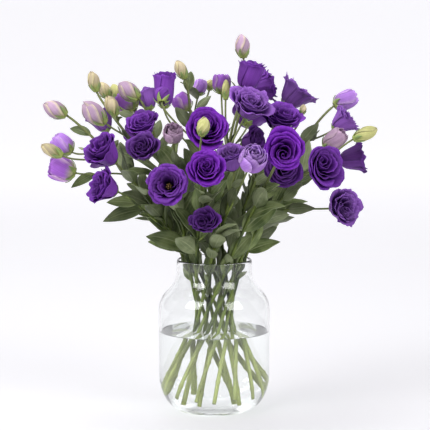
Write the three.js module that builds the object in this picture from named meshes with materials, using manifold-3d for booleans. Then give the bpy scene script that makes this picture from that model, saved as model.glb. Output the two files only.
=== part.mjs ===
// Lisianthus bouquet standing in a glass vase of water.
//
// Units are millimetres, +Z is up, and the origin is the centre of the vase's base. -Y is the front.
// The stems cross in a spiral inside the vase and lean on its neck, with their cut ends spread in
// the water. Each leafy stem is one solid: its stalks, leaves, calyxes and closed
// buds. Each open or half-open bloom is a solid of its own, seated on its calyx.

import * as THREE from "three";
import { mergeVertices } from "three/addons/utils/BufferGeometryUtils.js";
import Module from "manifold-3d";

const wasm = await Module();
wasm.setup();

// The vase: a round jar with a short neck, a full shoulder and a rounded heel.
const VASE_SEGMENTS = 22;
const GLASS_WALL = 3;
const GLASS_FLOOR = 8.5;
const HEEL_RADIUS = 43;
const HEEL_HEIGHT = 50;
const BODY_RADIUS = 75.5;
const RIM_RADIUS = 51;
const VASE_HEIGHT = 207;
// Radius and height of the outer wall, from the top of the heel to the rim.
const SHOULDER = [
  [BODY_RADIUS, 138],
  [71.5, 154],
  [62.9, 165],
  [53.8, 177],
  [RIM_RADIUS, 192],
  [RIM_RADIUS, VASE_HEIGHT],
];
const HEEL_TURNS = [0.5, 0.95];
const WATER_LEVEL = 109;
const SEAT_GAP = 0.35;

// The spiral in which the stems cross: they pass the waist in two rings, each on its own slant.
const WAIST_HEIGHT = 130;
const NECK_EXIT_HEIGHT = 216;
const RINGS = {
  outer: { radius: 24, lean: 0.46, count: 13, firstAngle: 184 },
  inner: { radius: 10, lean: 0.224, count: 4, firstAngle: 105 },
};
const FOOT_LOWEST = 12.5;
const FOOT_SPREAD = 9;
// How far the feet also lean straight outwards, and the room that they keep to the glass.
const FOOT_SPLAY = 0.11;
const FOOT_ROOM = 7;
// How much less some stems lean than their ring does, and how far they stray round it in degrees.
const LEAN_SPREAD = 0.16;
const ANGLE_SPREAD = 7;
// How much more a stem leans above the waist, where its heads weigh it outwards.
const UPPER_LEAN = 1.07;

// Radii of the stems and the side stalks, and how far a side stalk leans out as it forks.
const STEM_SIDES = 5;
const FOOT_THICKNESS = 2.5;
const WAIST_THICKNESS = 2.4;
const NECK_THICKNESS = 2.4;
const TOP_THICKNESS = 1.6;
const STALK_THICKNESS = 1.3;
const FORK_LEAN = 0.6;
// How far a stalk holds the direction in which it leaves, and that in which it reaches its head.
const LEAVING_SHARE = 0.3;
const LONGEST_ARRIVAL = 26;
const STALK_STEPS = 3;
const STEM_STEPS = 6;

// The forms of the blooms. A profile row is radius and height as shares of the bloom's own radius
// and length, then how deep the petals' overlaps cut into that ring, and its turn in lobes.
const LOBES = 5;
const LARGE_BLOOM = 25;
const FORMS = {
  double: {
    profile: [
      [0.56, 0.22, 0.03, 0],
      [0.9, 0.62, 0.09, 0],
      [1.0, 0.9, 0.14, 0.1],
      [0.94, 0.93, 0.14, 0.1],
      [0.66, 0.62, 0.06, 0.3],
      [0.7, 0.98, 0.12, 0.5],
      [0.64, 1.0, 0.12, 0.5],
      [0.36, 0.7, 0.05, 0.7],
      [0.3, 0.98, 0.1, 1.0],
    ],
    heart: 0.82,
  },
  bell: {
    profile: [
      [0.58, 0.2, 0.03, 0],
      [0.74, 0.62, 0.06, 0],
      [1.0, 0.93, 0.12, 0.1],
      [0.94, 0.96, 0.12, 0.1],
      [0.55, 0.6, 0.05, 0.3],
      [0.5, 0.93, 0.1, 0.6],
    ],
    heart: 0.72,
  },
  half: {
    profile: [
      [0.82, 0.25, 0.03, 0],
      [1.0, 0.6, 0.07, 0.15],
      [0.8, 0.9, 0.12, 0.3],
      [0.72, 0.92, 0.12, 0.3],
      [0.42, 0.76, 0.05, 0.5],
    ],
    heart: 0.9,
  },
};
// A bud's rings, as shares of its radius and length, each turned on from the one below.
const BUD_PROFILE = [
  [0.45, 0.04],
  [0.98, 0.34],
  [0.86, 0.62],
  [0.34, 0.9],
];
const BUD_TWIST = 0.35;
// The calyx under a bloom: its foot's radius and drop, and how far up the bloom its points reach.
const CALYX_FOOT = [3.3, -2.4];
const CALYX_RISE = 0.07;
const CALYX_SPREAD = { double: 0.5, bell: 0.5, half: 0.7 };

// The leaves up each stem: how far each joint is from where the stem leaves the vase's neck, and
// how many leaves it has. A leaf is set its own way first, and if something is there, in the ways
// that follow.
const LEAF_JOINTS = [
  [-28, 1],
  [-3, 2],
  [27, 2],
  [60, 1],
];
const LEAF_LENGTH = [54, 76];
const NECK_LEAF_BELOW = -10;
const NECK_LEAF_SHARE = 0.6;
const LEAF_SLENDERNESS = 0.4;
const LEAF_THICKNESS = 1.6;
const LEAF_CLEARANCE = 2.2;
// The lines along a leaf that are kept clear, from its left edge to its right one.
const LEAF_LINES = [-1, -0.5, 0, 0.5, 1];
const LEAF_RISES = [60, 44, 72, 26];
const NECK_LEAF_RISES = [82, 76, 70];
const LEAF_SPREADS = [0, 30, -30, 60, -60, 95, -95];
const LEAF_SCALES = [1, 0.8, 0.62];
const LEAF_ROLL = 50;
const LEAF_DROOP = 0.17;
// How upright a leaf grows at the least, as the height that it gains for its length.
const LEAST_UPRIGHT = 0.42;
const LEAF_KEEL = 0.3;
const LEAF_WAVE = 0.14;
const LEAF_STEPS = 3;
const NECK_CLEAR_RADIUS = 45;
const LOWEST_LEAF = 140;

// The stems in order round each ring, and the heads that each one carries. A head is its form,
// the place of its middle, the way it faces (degrees round from +X, then up), its radius and
// length, and where its stalk forks from the stem, as a share of the way up. The first is the
// stem's own end. A stem's own leaves are the share of the way up, the way the leaf points, its
// roll in degrees, its length, and the line it grows on: 0 is the stem, then its side stalks.
const STEMS = [
  {
    ring: "outer",
    heads: [
      ["double", [-11, -125, 337], [-85, 25], 23, 30, 1],
      ["double", [-11, -95, 267], [-100, 40], 19, 27, 0.16],
      ["bud", [-14, -95, 393], [-60, 70], 8.3, 25, 0.45],
    ],
    leaves: [
      [0.25, [39, 82], 45, 62, 0],
      [0.04, [-122, 36], 75, 62, 0],
    ],
  },
  {
    ring: "outer",
    heads: [
      ["double", [21, -84, 348], [-118, 60], 22, 32, 1],
      ["half", [49, -122, 352], [-72, 38], 17, 36, 0.4],
    ],
    leaves: [
      [0.82, [-153, 54], 0, 45, 1],
      [0.07, [36, 81], -15, 44, 1],
      [0.01, [31, 80], 0, 39, 0],
    ],
  },
  {
    ring: "outer",
    heads: [
      ["double", [89, -110, 363], [-85, 15], 26, 32, 1],
      ["double", [90, -52, 333], [-95, 8], 24, 28, 0.3],
    ],
    leaves: [
      [0.22, [5, 48], 45, 73, 0],
      [0.46, [45, 30], 30, 52, 0],
    ],
  },
  {
    ring: "outer",
    heads: [
      ["double", [141, -60, 336], [-55, 12], 28, 34, 1],
      ["double", [168, -40, 282], [-50, 10], 25, 32, 0.4],
    ],
    leaves: [
      [0.25, [0, 13], 15, 41, 1],
      [0.04, [12, 67], -15, 59, 0],
    ],
  },
  {
    ring: "outer",
    heads: [
      ["half", [162, 0, 369], [-20, 40], 12.5, 34, 1],
      ["bell", [188, 40, 340], [0, 10], 20, 36, 0.5],
      ["bud", [202, -16, 378], [-14, 25], 8.8, 33, 0.5],
    ],
    leaves: [
      [0.01, [2, 27], 75, 50, 0],
    ],
  },
  {
    ring: "outer",
    heads: [
      ["half", [182, 70, 419], [10, 25], 13, 33, 1],
      ["double", [174, 30, 391], [0, 40], 20, 30, 0.6],
      ["double", [148, 60, 330], [45, 30], 22, 30, 0.4],
    ],
    leaves: [
      [0.61, [7, 56], 0, 44, 0],
      [0.01, [5, 44], -45, 61, 0],
    ],
  },
  {
    ring: "outer",
    heads: [
      ["bell", [110, 70, 425], [0, 50], 24, 36, 1],
      ["double", [97, 90, 349], [60, 30], 24, 30, 0.45],
      ["bud", [121, 30, 409], [-10, 80], 4.5, 12, 0.45],
    ],
  },
  {
    ring: "outer",
    heads: [
      ["double", [66, 90, 436], [10, 15], 23, 34, 1],
      ["double", [49, 110, 392], [80, 35], 23, 30, 0.5],
    ],
  },
  {
    ring: "outer",
    heads: [
      ["bud", [-46, 60, 462], [180, 65], 8, 26, 1],
      ["double", [-11, 120, 375], [95, 30], 24, 30, 0.4],
      ["half", [-20, 110, 436], [30, 75], 9, 22, 0.6],
      ["bud", [-6, 125, 439], [20, 80], 6, 14, 0.66],
      ["half", [-45, 90, 415], [170, 50], 13, 26, 0.7],
    ],
    leaves: [
      [0.01, [166, 69], 30, 45, 1],
      [0.85, [78, 61], 15, 39, 0],
      [0.88, [-131, 45], -15, 51, 2],
      [0.07, [172, 58], 45, 45, 2],
      [0.37, [6, 51], -30, 31, 3],
    ],
  },
  {
    ring: "outer",
    heads: [
      ["bud", [-117, 35, 433], [170, 35], 12, 33, 1],
      ["double", [-103, 110, 372], [130, 30], 23, 30, 0.4],
      ["double", [-93, 85, 417], [120, 50], 18, 27, 0.55],
      ["half", [-122, 72, 415], [160, 35], 15, 30, 0.62],
      ["bud", [-138, 98, 430], [150, 60], 8, 22, 0.5],
      ["bud", [-151, 50, 434], [170, 55], 8.2, 24, 0.7],
    ],
    leaves: [
      [0.04, [167, 68], 60, 64, 0],
    ],
  },
  {
    ring: "outer",
    heads: [
      ["bud", [-218, 40, 408], [185, 28], 11.5, 33, 1],
      ["double", [-155, 60, 390], [150, 60], 20, 32, 0.55],
      ["half", [-207, 25, 360], [170, 35], 14, 30, 0.6],
      ["half", [-205, -10, 330], [180, 15], 16, 36, 0.45],
      ["bud", [-216, -35, 357], [180, 26], 8, 30, 0.52],
      ["double", [-150, 80, 340], [150, 25], 22, 30, 0.35],
    ],
    leaves: [
      [0.64, [-177, -20], -15, 34, 3],
      [0.73, [151, 25], -15, 37, 0],
      [0.01, [178, 24], -60, 52, 0],
    ],
  },
  {
    ring: "outer",
    heads: [
      ["double", [-142, -70, 356], [-140, 40], 24, 40, 1],
      ["double", [-140, -85, 312], [-150, 20], 22, 32, 0.22],
    ],
    leaves: [
      [0.52, [-178, -6], -30, 53, 1],
      [0.64, [180, 13], -15, 40, 1],
      [0.19, [174, 51], 0, 67, 0],
      [0.04, [171, 59], 0, 52, 0],
    ],
  },
  {
    ring: "outer",
    heads: [
      ["half", [-54, -60, 381], [-90, 50], 12.5, 26, 1],
      ["double", [-58, -125, 318], [-100, 20], 27, 34, 0.4],
      ["double", [-93, -40, 358], [-100, 40], 22, 30, 0.55],
    ],
    leaves: [
      [0.01, [177, 33], -15, 63, 0],
      [0.67, [117, 36], -45, 67, 0],
    ],
  },
  {
    ring: "inner",
    heads: [
      ["bud", [-163, 20, 447], [180, 75], 8, 27, 1],
      ["bud", [-161, -20, 406], [200, 40], 13, 40, 0.6],
      ["bud", [-138, 0, 415], [200, 65], 8.7, 28, 0.7],
      ["double", [-96, 0, 386], [-120, 55], 23, 30, 0.5],
    ],
    leaves: [
      [0.4, [179, 17], -30, 54, 0],
    ],
  },
  {
    ring: "inner",
    heads: [
      ["double", [-10, -50, 383], [-85, 25], 28, 34, 1],
      ["double", [47, -10, 414], [-60, 50], 28, 34, 0.5],
    ],
  },
  {
    ring: "inner",
    heads: [
      ["double", [89, 20, 395], [-75, 58], 28, 30, 1],
      ["double", [50, 10, 365], [-30, 10], 20, 28, 0.5],
    ],
    leaves: [
      [0.19, [171, 60], 45, 59, 0],
    ],
  },
  {
    ring: "inner",
    heads: [
      ["bell", [48, 40, 454], [0, 75], 18, 42, 1],
      ["bud", [39, 72, 494], [170, 85], 10, 31, 0.75],
      ["bell", [-68, 30, 435], [90, 80], 15, 50, 0.35],
      ["bud", [-70, 0, 429], [90, 50], 11, 24, 0.4],
      ["half", [10, 75, 442], [90, 80], 12.5, 26, 0.5],
      ["bud", [16, 45, 435], [80, 80], 5, 26, 0.55],
    ],
  },
];

const finish = (color, roughness, more = {}) =>
  new THREE.MeshStandardMaterial({ color, roughness, metalness: 0, ...more });
const GLASS = finish(0xe8f0f0, 0.03, { transparent: true, opacity: 0.3 });
const WATER = finish(0xe4eeee, 0.02, { transparent: true, opacity: 0.25 });
const GREEN = finish(0x5f7d48, 0.55);
const PETALS = {
  double: finish(0x4b168f, 0.6),
  bell: finish(0x4f2389, 0.6),
  half: finish(0x8a66ab, 0.6),
};

const part = new THREE.Group();

/** Adds a solid to the part as a named mesh. */
function place(name, solid, material) {
  const { vertProperties, triVerts } = solid.getMesh();
  const geometry = new THREE.BufferGeometry();
  geometry.setAttribute("position", new THREE.BufferAttribute(vertProperties, 3));
  geometry.setIndex(new THREE.BufferAttribute(triVerts, 1));
  geometry.computeVertexNormals();
  const mesh = new THREE.Mesh(geometry, material);
  mesh.name = name;
  part.add(mesh);
}

/** A closed three.js geometry as a manifold solid. */
function solidOf(geometry) {
  const bare = geometry.clone();
  bare.deleteAttribute("normal");
  bare.deleteAttribute("uv");
  const merged = mergeVertices(bare, 1e-4);
  return new wasm.Manifold(
    new wasm.Mesh({
      numProp: 3,
      vertProperties: merged.getAttribute("position").array,
      triVerts: new Uint32Array(merged.getIndex().array),
    }),
  );
}

/** Random numbers from 0 to 1, the same on every run for the same seed. */
function draws(seed) {
  let state = seed >>> 0;
  return () => {
    state = (state * 1664525 + 1013904223) % 4294967296;
    return state / 4294967296;
  };
}

/** The unit vector that points the way given in degrees, round from +X and up. */
function heading([round, up]) {
  const a = THREE.MathUtils.degToRad(round);
  const e = THREE.MathUtils.degToRad(up);
  return new THREE.Vector3(Math.cos(e) * Math.cos(a), Math.cos(e) * Math.sin(a), Math.sin(e));
}

/**
 * A closed skin over rings of points, which run anticlockwise seen from the last ring's side.
 * start and end are single points that close it, or null for a flat cap.
 */
function skin(rings, start = null, end = null) {
  const sides = rings[0].length;
  const points = rings.flat();
  const faces = [];
  for (let i = 0; i + 1 < rings.length; i++) {
    for (let k = 0; k < sides; k++) {
      const a = i * sides + k;
      const b = i * sides + ((k + 1) % sides);
      faces.push(a, b, b + sides, a, b + sides, a + sides);
    }
  }
  const last = (rings.length - 1) * sides;
  for (let k = 0; k < sides; k++) {
    const next = (k + 1) % sides;
    if (start) faces.push(points.length, next, k);
    else if (k > 0 && next > 0) faces.push(0, next, k);
  }
  if (start) points.push(start);
  for (let k = 0; k < sides; k++) {
    const next = (k + 1) % sides;
    if (end) faces.push(points.length, last + k, last + next);
    else if (k > 0 && next > 0) faces.push(last, last + k, last + next);
  }
  if (end) points.push(end);
  const geometry = new THREE.BufferGeometry().setFromPoints(points);
  geometry.setIndex(faces);
  return geometry;
}

/** Two unit vectors square to a direction and to each other. */
function sideways(direction) {
  const helper = Math.abs(direction.z) > 0.95 ? new THREE.Vector3(1, 0, 0) : new THREE.Vector3(0, 0, 1);
  const across = new THREE.Vector3().crossVectors(helper, direction).normalize();
  return [across, new THREE.Vector3().crossVectors(direction, across)];
}

/** A ring of points about a centre, turned on by a given angle. */
function ringAbout(centre, across, up, radius, turn = 0) {
  return Array.from({ length: STEM_SIDES }, (_, k) => {
    const angle = (2 * Math.PI * k) / STEM_SIDES + turn;
    return centre
      .clone()
      .addScaledVector(across, radius * Math.cos(angle))
      .addScaledVector(up, radius * Math.sin(angle));
  });
}

/** A tapered tube through points, carried along without twisting, that may end in a head's seat. */
function tube(points, radii, head = null) {
  let across = null;
  const rings = [];
  points.forEach((point, i) => {
    const before = points[Math.max(i - 1, 0)];
    const after = points[Math.min(i + 1, points.length - 1)];
    const along = new THREE.Vector3().subVectors(after, before).normalize();
    across = across
      ? across.clone().addScaledVector(along, -across.dot(along)).normalize()
      : sideways(along)[0];
    const up = new THREE.Vector3().crossVectors(along, across);
    rings.push(ringAbout(point, across, up, radii[i]));
  });
  if (!head) return solidOf(skin(rings));
  const up = new THREE.Vector3().crossVectors(head.direction, across).normalize();
  across = new THREE.Vector3().crossVectors(up, head.direction);
  rings.pop();
  const end = endOf(head, radii[radii.length - 1]);
  end.rows.forEach(([radius, height, turn]) => {
    const centre = head.seat.clone().addScaledVector(head.direction, height);
    rings.push(ringAbout(centre, across, up, radius, turn));
  });
  return solidOf(skin(rings, null, head.seat.clone().addScaledVector(head.direction, end.tip)));
}

/** How a stalk ends: in a closed bud, or in the calyx that a bloom sits on. */
function endOf(head, thickness) {
  if (head.form === "bud") {
    const rows = BUD_PROFILE.map(([radius, height], i) => [
      head.radius * radius,
      head.length * height,
      BUD_TWIST * i,
    ]);
    return { rows: [[thickness, -1, 0], ...rows], tip: head.length };
  }
  const rim = [head.radius * CALYX_SPREAD[head.form], head.length * CALYX_RISE, 0];
  return { rows: [[thickness, -9, 0], [...CALYX_FOOT, 0], rim], tip: -SEAT_GAP };
}

/** The vase's outer wall from its base to its rim, as points of radius and height. */
function outerWall() {
  const heel = HEEL_TURNS.map((turn) => [
    HEEL_RADIUS + (BODY_RADIUS - HEEL_RADIUS) * Math.sin(turn),
    HEEL_HEIGHT * (1 - Math.cos(turn)),
  ]);
  return [[HEEL_RADIUS, 0], ...heel, [BODY_RADIUS, HEEL_HEIGHT], ...SHOULDER];
}

/** The inside of the vase, a given distance in from the glass, from its floor up. */
function innerWall(gap) {
  const inset = GLASS_WALL + gap;
  const rise = GLASS_FLOOR + gap;
  return outerWall().map(([radius, height]) => {
    const share = Math.min(height / HEEL_HEIGHT, 1);
    return [radius - inset, height + rise * (1 - share)];
  });
}

function lathe(profile) {
  const points = profile.map(([radius, height]) => new THREE.Vector2(radius, height));
  const geometry = new THREE.LatheGeometry(points, VASE_SEGMENTS);
  return solidOf(geometry.rotateX(Math.PI / 2));
}

function vase() {
  return lathe([
    [0, 0],
    ...outerWall(),
    ...innerWall(0).reverse(),
    [0, GLASS_FLOOR],
  ]);
}

/** The water, before the stems' holes are cut. */
function waterBody() {
  const wall = innerWall(SEAT_GAP).filter(([, height]) => height < WATER_LEVEL);
  const widest = wall[wall.length - 1][0];
  return lathe([[0, GLASS_FLOOR + SEAT_GAP], ...wall, [widest, WATER_LEVEL], [0, WATER_LEVEL]]);
}

/** The radius that a foot may reach at a height above the floor of the vase. */
function footRoom(height) {
  const share = Math.min((height - GLASS_FLOOR) / (HEEL_HEIGHT - GLASS_FLOOR), 1);
  const bulge = Math.sqrt(1 - (1 - share) ** 2);
  return HEEL_RADIUS + (BODY_RADIUS - HEEL_RADIUS) * bulge - GLASS_WALL - FOOT_ROOM;
}

/** Where a stem stands: its foot, its way through the waist and the point where it leaves the neck. */
function spiralLine(stem, place, random) {
  const ring = RINGS[stem.ring];
  const cut = FOOT_LOWEST + FOOT_SPREAD * random();
  const lean = ring.lean * (1 - LEAN_SPREAD * random());
  const stray = ANGLE_SPREAD * (random() - 0.5);
  const angle = THREE.MathUtils.degToRad(ring.firstAngle + (360 / ring.count) * place + stray);
  const out = new THREE.Vector3(Math.cos(angle), Math.sin(angle), 0);
  const round = new THREE.Vector3(-out.y, out.x, 0);
  const waist = out.clone().multiplyScalar(ring.radius).setZ(WAIST_HEIGHT);
  const lower = round.clone().multiplyScalar(lean).addScaledVector(out, -FOOT_SPLAY).setZ(1);
  const upper = round.multiplyScalar(lean * UPPER_LEAN).setZ(1);
  const footAt = (height) => waist.clone().addScaledVector(lower, height - WAIST_HEIGHT);
  const clears = ({ x, y, z }) => Math.hypot(x, y) < footRoom(z);
  let foot = footAt(cut);
  while (!clears(foot)) foot = footAt(foot.z + 1);
  return {
    foot,
    exit: waist.clone().addScaledVector(upper, NECK_EXIT_HEIGHT - WAIST_HEIGHT),
    waist,
    climb: upper.normalize(),
  };
}

/** A head's row as named values, with the seat where its stalk ends. */
function headOf([form, middle, facing, radius, length, fork]) {
  const direction = heading(facing);
  const centre = new THREE.Vector3(...middle);
  return {
    form,
    direction,
    radius,
    length,
    fork,
    seat: centre.clone().addScaledVector(direction, -length / 2),
    centre,
  };
}

/** The way a side stalk leaves its stem: leaning out from it, towards its head. */
function forkWay(main, head) {
  const along = main.getTangent(head.fork).normalize();
  const towards = head.seat.clone().sub(main.getPoint(head.fork));
  const out = towards.addScaledVector(along, -towards.dot(along)).normalize();
  return along.multiplyScalar(Math.cos(FORK_LEAN)).addScaledVector(out, Math.sin(FORK_LEAN));
}

/** The curve of a stalk: it leaves along one direction and arrives at a head along the head's own. */
function stalkCurve(start, leave, head) {
  const reach = start.distanceTo(head.seat);
  return new THREE.CubicBezierCurve3(
    start,
    start.clone().addScaledVector(leave, reach * LEAVING_SHARE),
    head.seat.clone().addScaledVector(head.direction, -Math.min(reach * 0.3, LONGEST_ARRIVAL)),
    head.seat,
  );
}

/** The lines of one stem: foot to neck, then its own curve and the curve of each side stalk. */
function layOut(stem, place, seed) {
  const line = spiralLine(stem, place, draws(seed * 7919));
  const heads = stem.heads.map(headOf);
  const main = stalkCurve(line.exit, line.climb, heads[0]);
  const stalks = heads
    .slice(1)
    .map((head) => stalkCurve(main.getPoint(head.fork), forkWay(main, head), head));
  return { ...line, heads, main, stalks, seed, leaves: stem.leaves ?? [] };
}

/** Places a shape that is made along +Z at a head's seat, facing its way. */
function seatOn(head, geometry) {
  const turn = new THREE.Quaternion().setFromUnitVectors(new THREE.Vector3(0, 0, 1), head.direction);
  return geometry.applyQuaternion(turn).translate(head.seat.x, head.seat.y, head.seat.z);
}

/** One ring of a bloom: round, but stepped in and notched where each petal's edge laps the next. */
function petalRing([radius, height, depth, turn], head) {
  const pointsPerLobe = head.radius < LARGE_BLOOM ? 2 : 3;
  const count = LOBES * pointsPerLobe;
  return Array.from({ length: count }, (_, k) => {
    const phase = (k % pointsPerLobe) / pointsPerLobe;
    const angle = (2 * Math.PI * (k + turn * pointsPerLobe)) / count;
    const r = head.radius * radius * (1 + depth * (0.5 - phase));
    const notch = k % pointsPerLobe ? 0 : depth;
    const z = head.length * (height - notch);
    return new THREE.Vector3(r * Math.cos(angle), r * Math.sin(angle), z);
  });
}

/** A bloom, as layered whorls of lapping petals round its heart. */
function bloom(head) {
  const form = FORMS[head.form];
  const rings = form.profile.map((row) => petalRing(row, head));
  const heart = new THREE.Vector3(0, 0, head.length * form.heart);
  return solidOf(seatOn(head, skin(rings, new THREE.Vector3(0, 0, 0), heart)));
}

/** The distance between two segments' middle lines, less both their radii. */
function gapBetween(a, b) {
  const u = a.to.clone().sub(a.from);
  const v = b.to.clone().sub(b.from);
  const w = a.from.clone().sub(b.from);
  const uu = u.lengthSq();
  const vv = v.lengthSq();
  const uv = u.dot(v);
  const slack = Math.max(uu * vv - uv * uv, 1e-9);
  const clamp = (share) => THREE.MathUtils.clamp(share, 0, 1);
  const first = clamp((uv * v.dot(w) - vv * u.dot(w)) / slack);
  const t = clamp((uv * first + v.dot(w)) / vv);
  const s = clamp((uv * t - u.dot(w)) / uu);
  return w.addScaledVector(u, s).addScaledVector(v, -t).length() - a.radius - b.radius;
}

function segmentsOf(points, radius) {
  return points.slice(1).map((to, i) => ({ from: points[i], to, radius }));
}

/** What a leaf has to keep clear of: every stem and every head. */
function obstaclesOf(layouts) {
  return layouts.flatMap((layout, owner) => {
    const lines = [
      segmentsOf([layout.foot, layout.waist, ...layout.main.getPoints(12)], NECK_THICKNESS),
      ...layout.stalks.map((stalk) => segmentsOf(stalk.getPoints(8), STALK_THICKNESS)),
    ];
    const heads = layout.heads.map((head) => ({
      from: head.seat.clone().addScaledVector(head.direction, head.length * 0.35),
      to: head.seat.clone().addScaledVector(head.direction, head.length * 0.72),
      radius: head.radius * 0.98,
    }));
    return [...lines.flat().map((s) => ({ ...s, owner })), ...heads.map((s) => ({ ...s, owner: -1 }))];
  });
}

/** A leaf's midrib: it leaves its stem at a rise above square to it, and arches over to its tip. */
function leafRib(root, leave, length) {
  return Array.from({ length: LEAF_STEPS + 1 }, (_, i) => {
    const share = i / LEAF_STEPS;
    const drop = length * LEAF_DROOP * share * share;
    return root
      .clone()
      .addScaledVector(leave, length * share)
      .add(new THREE.Vector3(0, 0, -drop));
  });
}

/** Lines along a leaf, across its width. The edges rise in a keel and wave in turn. */
function leafLines(rib, across, face, length) {
  const half = (length * LEAF_SLENDERNESS) / 2;
  return LEAF_LINES.map((side) =>
    rib.map((point, i) => {
      const share = i / LEAF_STEPS;
      const width = i === 0 ? 1 : half * Math.sin(Math.PI * Math.pow(share, 0.75));
      const wave = i % LEAF_STEPS === 0 ? 0 : LEAF_WAVE * half * (i % 2 ? 1 : -1);
      return point
        .clone()
        .addScaledVector(across, side * width)
        .addScaledVector(face, LEAF_KEEL * width * Math.abs(side) + wave * side);
    }),
  );
}

/** A leaf as a thin keeled blade, with its root sunk into the stem. */
function leafBlade({ lines, face }) {
  const [left, , rib, , right] = lines;
  const rings = rib.slice(0, LEAF_STEPS).map((point, i) => [
    left[i],
    point.clone().addScaledVector(face, -LEAF_THICKNESS / 2),
    right[i],
    point.clone().addScaledVector(face, LEAF_THICKNESS / 2),
  ]);
  return solidOf(skin(rings, null, rib[LEAF_STEPS]));
}

/** The ways that a leaf may grow from a stem: rising from square to it, on one side or another. */
function leafWays(along, turn, rises) {
  const [east, north] = sideways(along);
  const ways = rises.flatMap((rise) =>
    LEAF_SPREADS.map((spread) => {
      const angle = THREE.MathUtils.degToRad(turn + spread);
      const lift = THREE.MathUtils.degToRad(rise);
      return along
        .clone()
        .multiplyScalar(Math.sin(lift))
        .addScaledVector(east, Math.cos(lift) * Math.cos(angle))
        .addScaledVector(north, Math.cos(lift) * Math.sin(angle));
    }),
  );
  return ways.filter((way) => way.z > LEAST_UPRIGHT);
}

/** Where a stem's own leaves grow: the root, the line's way there, the leaf's one way and size. */
function ownSites({ main, stalks, leaves }) {
  return leaves.map(([share, way, roll, size, line]) => {
    const curve = [main, ...stalks][line];
    return {
      root: curve.getPoint(share),
      along: curve.getTangent(share).normalize(),
      ways: [heading(way)],
      roll,
      size,
    };
  });
}

/** Where the other leaves of one stem may grow, each with the ways that it may be set. */
function leafSites(layout) {
  const { main, exit, climb } = layout;
  const random = draws(layout.seed * 977 + 5);
  const total = main.getLength();
  return LEAF_JOINTS.flatMap(([station, leaves], joint) => {
    const inNeck = station < 0;
    const sunk = station < NECK_LEAF_BELOW;
    const at = inNeck ? 0 : main.getUtoTmapping(station / total);
    const along = inNeck ? climb : main.getTangent(at).normalize();
    const root = inNeck ? exit.clone().addScaledVector(climb, station) : main.getPoint(at);
    const turn = random() * 90 + joint * 90;
    return Array.from({ length: leaves }, (_, i) => ({
      root,
      along,
      ways: leafWays(along, turn + 180 * i, sunk ? NECK_LEAF_RISES : LEAF_RISES),
      size: THREE.MathUtils.lerp(...LEAF_LENGTH, random()) * (sunk ? NECK_LEAF_SHARE : 1),
      roll: (random() * 2 - 1) * LEAF_ROLL,
    }));
  });
}

/** The leaves at one stem's sites, each turned until it lies clear of everything else. */
function leavesAt(sites, owner, obstacles) {
  const blades = [];
  for (const site of sites) {
    const leaf = clearLeaf(site, owner, obstacles);
    if (!leaf) continue;
    blades.push(leafBlade(leaf));
    for (const line of leaf.lines) {
      obstacles.push(...segmentsOf(line, LEAF_THICKNESS / 2).map((s) => ({ ...s, owner: -1 })));
    }
  }
  return blades;
}

/** Tries the ways to set a leaf until one keeps clear of everything, or gives null. */
function clearLeaf(site, owner, obstacles) {
  for (const scale of LEAF_SCALES) {
    for (const way of site.ways) {
      const leaf = leafAt(site, way, site.size * scale);
      if (isClear(leaf.lines, owner, obstacles)) return leaf;
    }
  }
  return null;
}

/** A leaf that grows one way from its site: its lines, and the way that its upper side faces. */
function leafAt({ root, along, roll }, way, length) {
  const level = new THREE.Vector3().crossVectors(along, way).normalize();
  const across = level.applyAxisAngle(way, THREE.MathUtils.degToRad(roll));
  const face = new THREE.Vector3().crossVectors(way, across).normalize();
  return { lines: leafLines(leafRib(root, way, length), across, face, length), face };
}

/** Whether a leaf's lines keep clear of the vase, of the other stems and of every other leaf. */
function isClear(lines, owner, obstacles) {
  const inside = (point) =>
    point.z < VASE_HEIGHT + 4 && Math.hypot(point.x, point.y) > NECK_CLEAR_RADIUS;
  if (lines.flat().some((point) => point.z < LOWEST_LEAF || inside(point))) return false;
  const near = obstacles.filter((o) => o.owner !== owner);
  return lines
    .flatMap((line) => segmentsOf(line, LEAF_THICKNESS / 2))
    .every((segment) => near.every((o) => gapBetween(segment, o) > LEAF_CLEARANCE));
}

/** The tube of a stem from its cut foot to its own head. */
function stemTube(layout) {
  const curve = layout.main.getPoints(STEM_STEPS);
  const points = [layout.foot, layout.waist, ...curve];
  const radii = [
    FOOT_THICKNESS,
    WAIST_THICKNESS,
    ...curve.map((_, i) => THREE.MathUtils.lerp(NECK_THICKNESS, TOP_THICKNESS, i / STEM_STEPS)),
  ];
  return tube(points, radii, layout.heads[0]);
}

/** The hole that a stem stands in, in the water. */
function stemHole(layout) {
  const along = layout.waist.clone().sub(layout.foot).normalize();
  const foot = layout.foot.clone().addScaledVector(along, -SEAT_GAP);
  const wide = SEAT_GAP / Math.cos(Math.PI / STEM_SIDES);
  return tube([foot, layout.waist], [FOOT_THICKNESS + wide, WAIST_THICKNESS + wide]);
}

function stalkTube(stalk, head) {
  const points = stalk.getPoints(STALK_STEPS);
  return tube(
    points,
    points.map(() => STALK_THICKNESS),
    head,
  );
}

function leafyStem(layout, leaves) {
  const pieces = [
    stemTube(layout),
    ...layout.stalks.map((stalk, i) => stalkTube(stalk, layout.heads[i + 1])),
    ...leaves,
  ];
  return wasm.Manifold.union(pieces);
}

const numbered = (word, number) => `${word}_${String(number).padStart(2, "0")}`;

const taken = { outer: 0, inner: 0 };
const layouts = STEMS.map((stem, i) => layOut(stem, taken[stem.ring]++, i + 1));
const obstacles = obstaclesOf(layouts);
const ownLeaves = layouts.map((layout, i) => leavesAt(ownSites(layout), i, obstacles));
const leaves = layouts.map((layout, i) => [
  ...ownLeaves[i],
  ...leavesAt(leafSites(layout), i, obstacles),
]);

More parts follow.
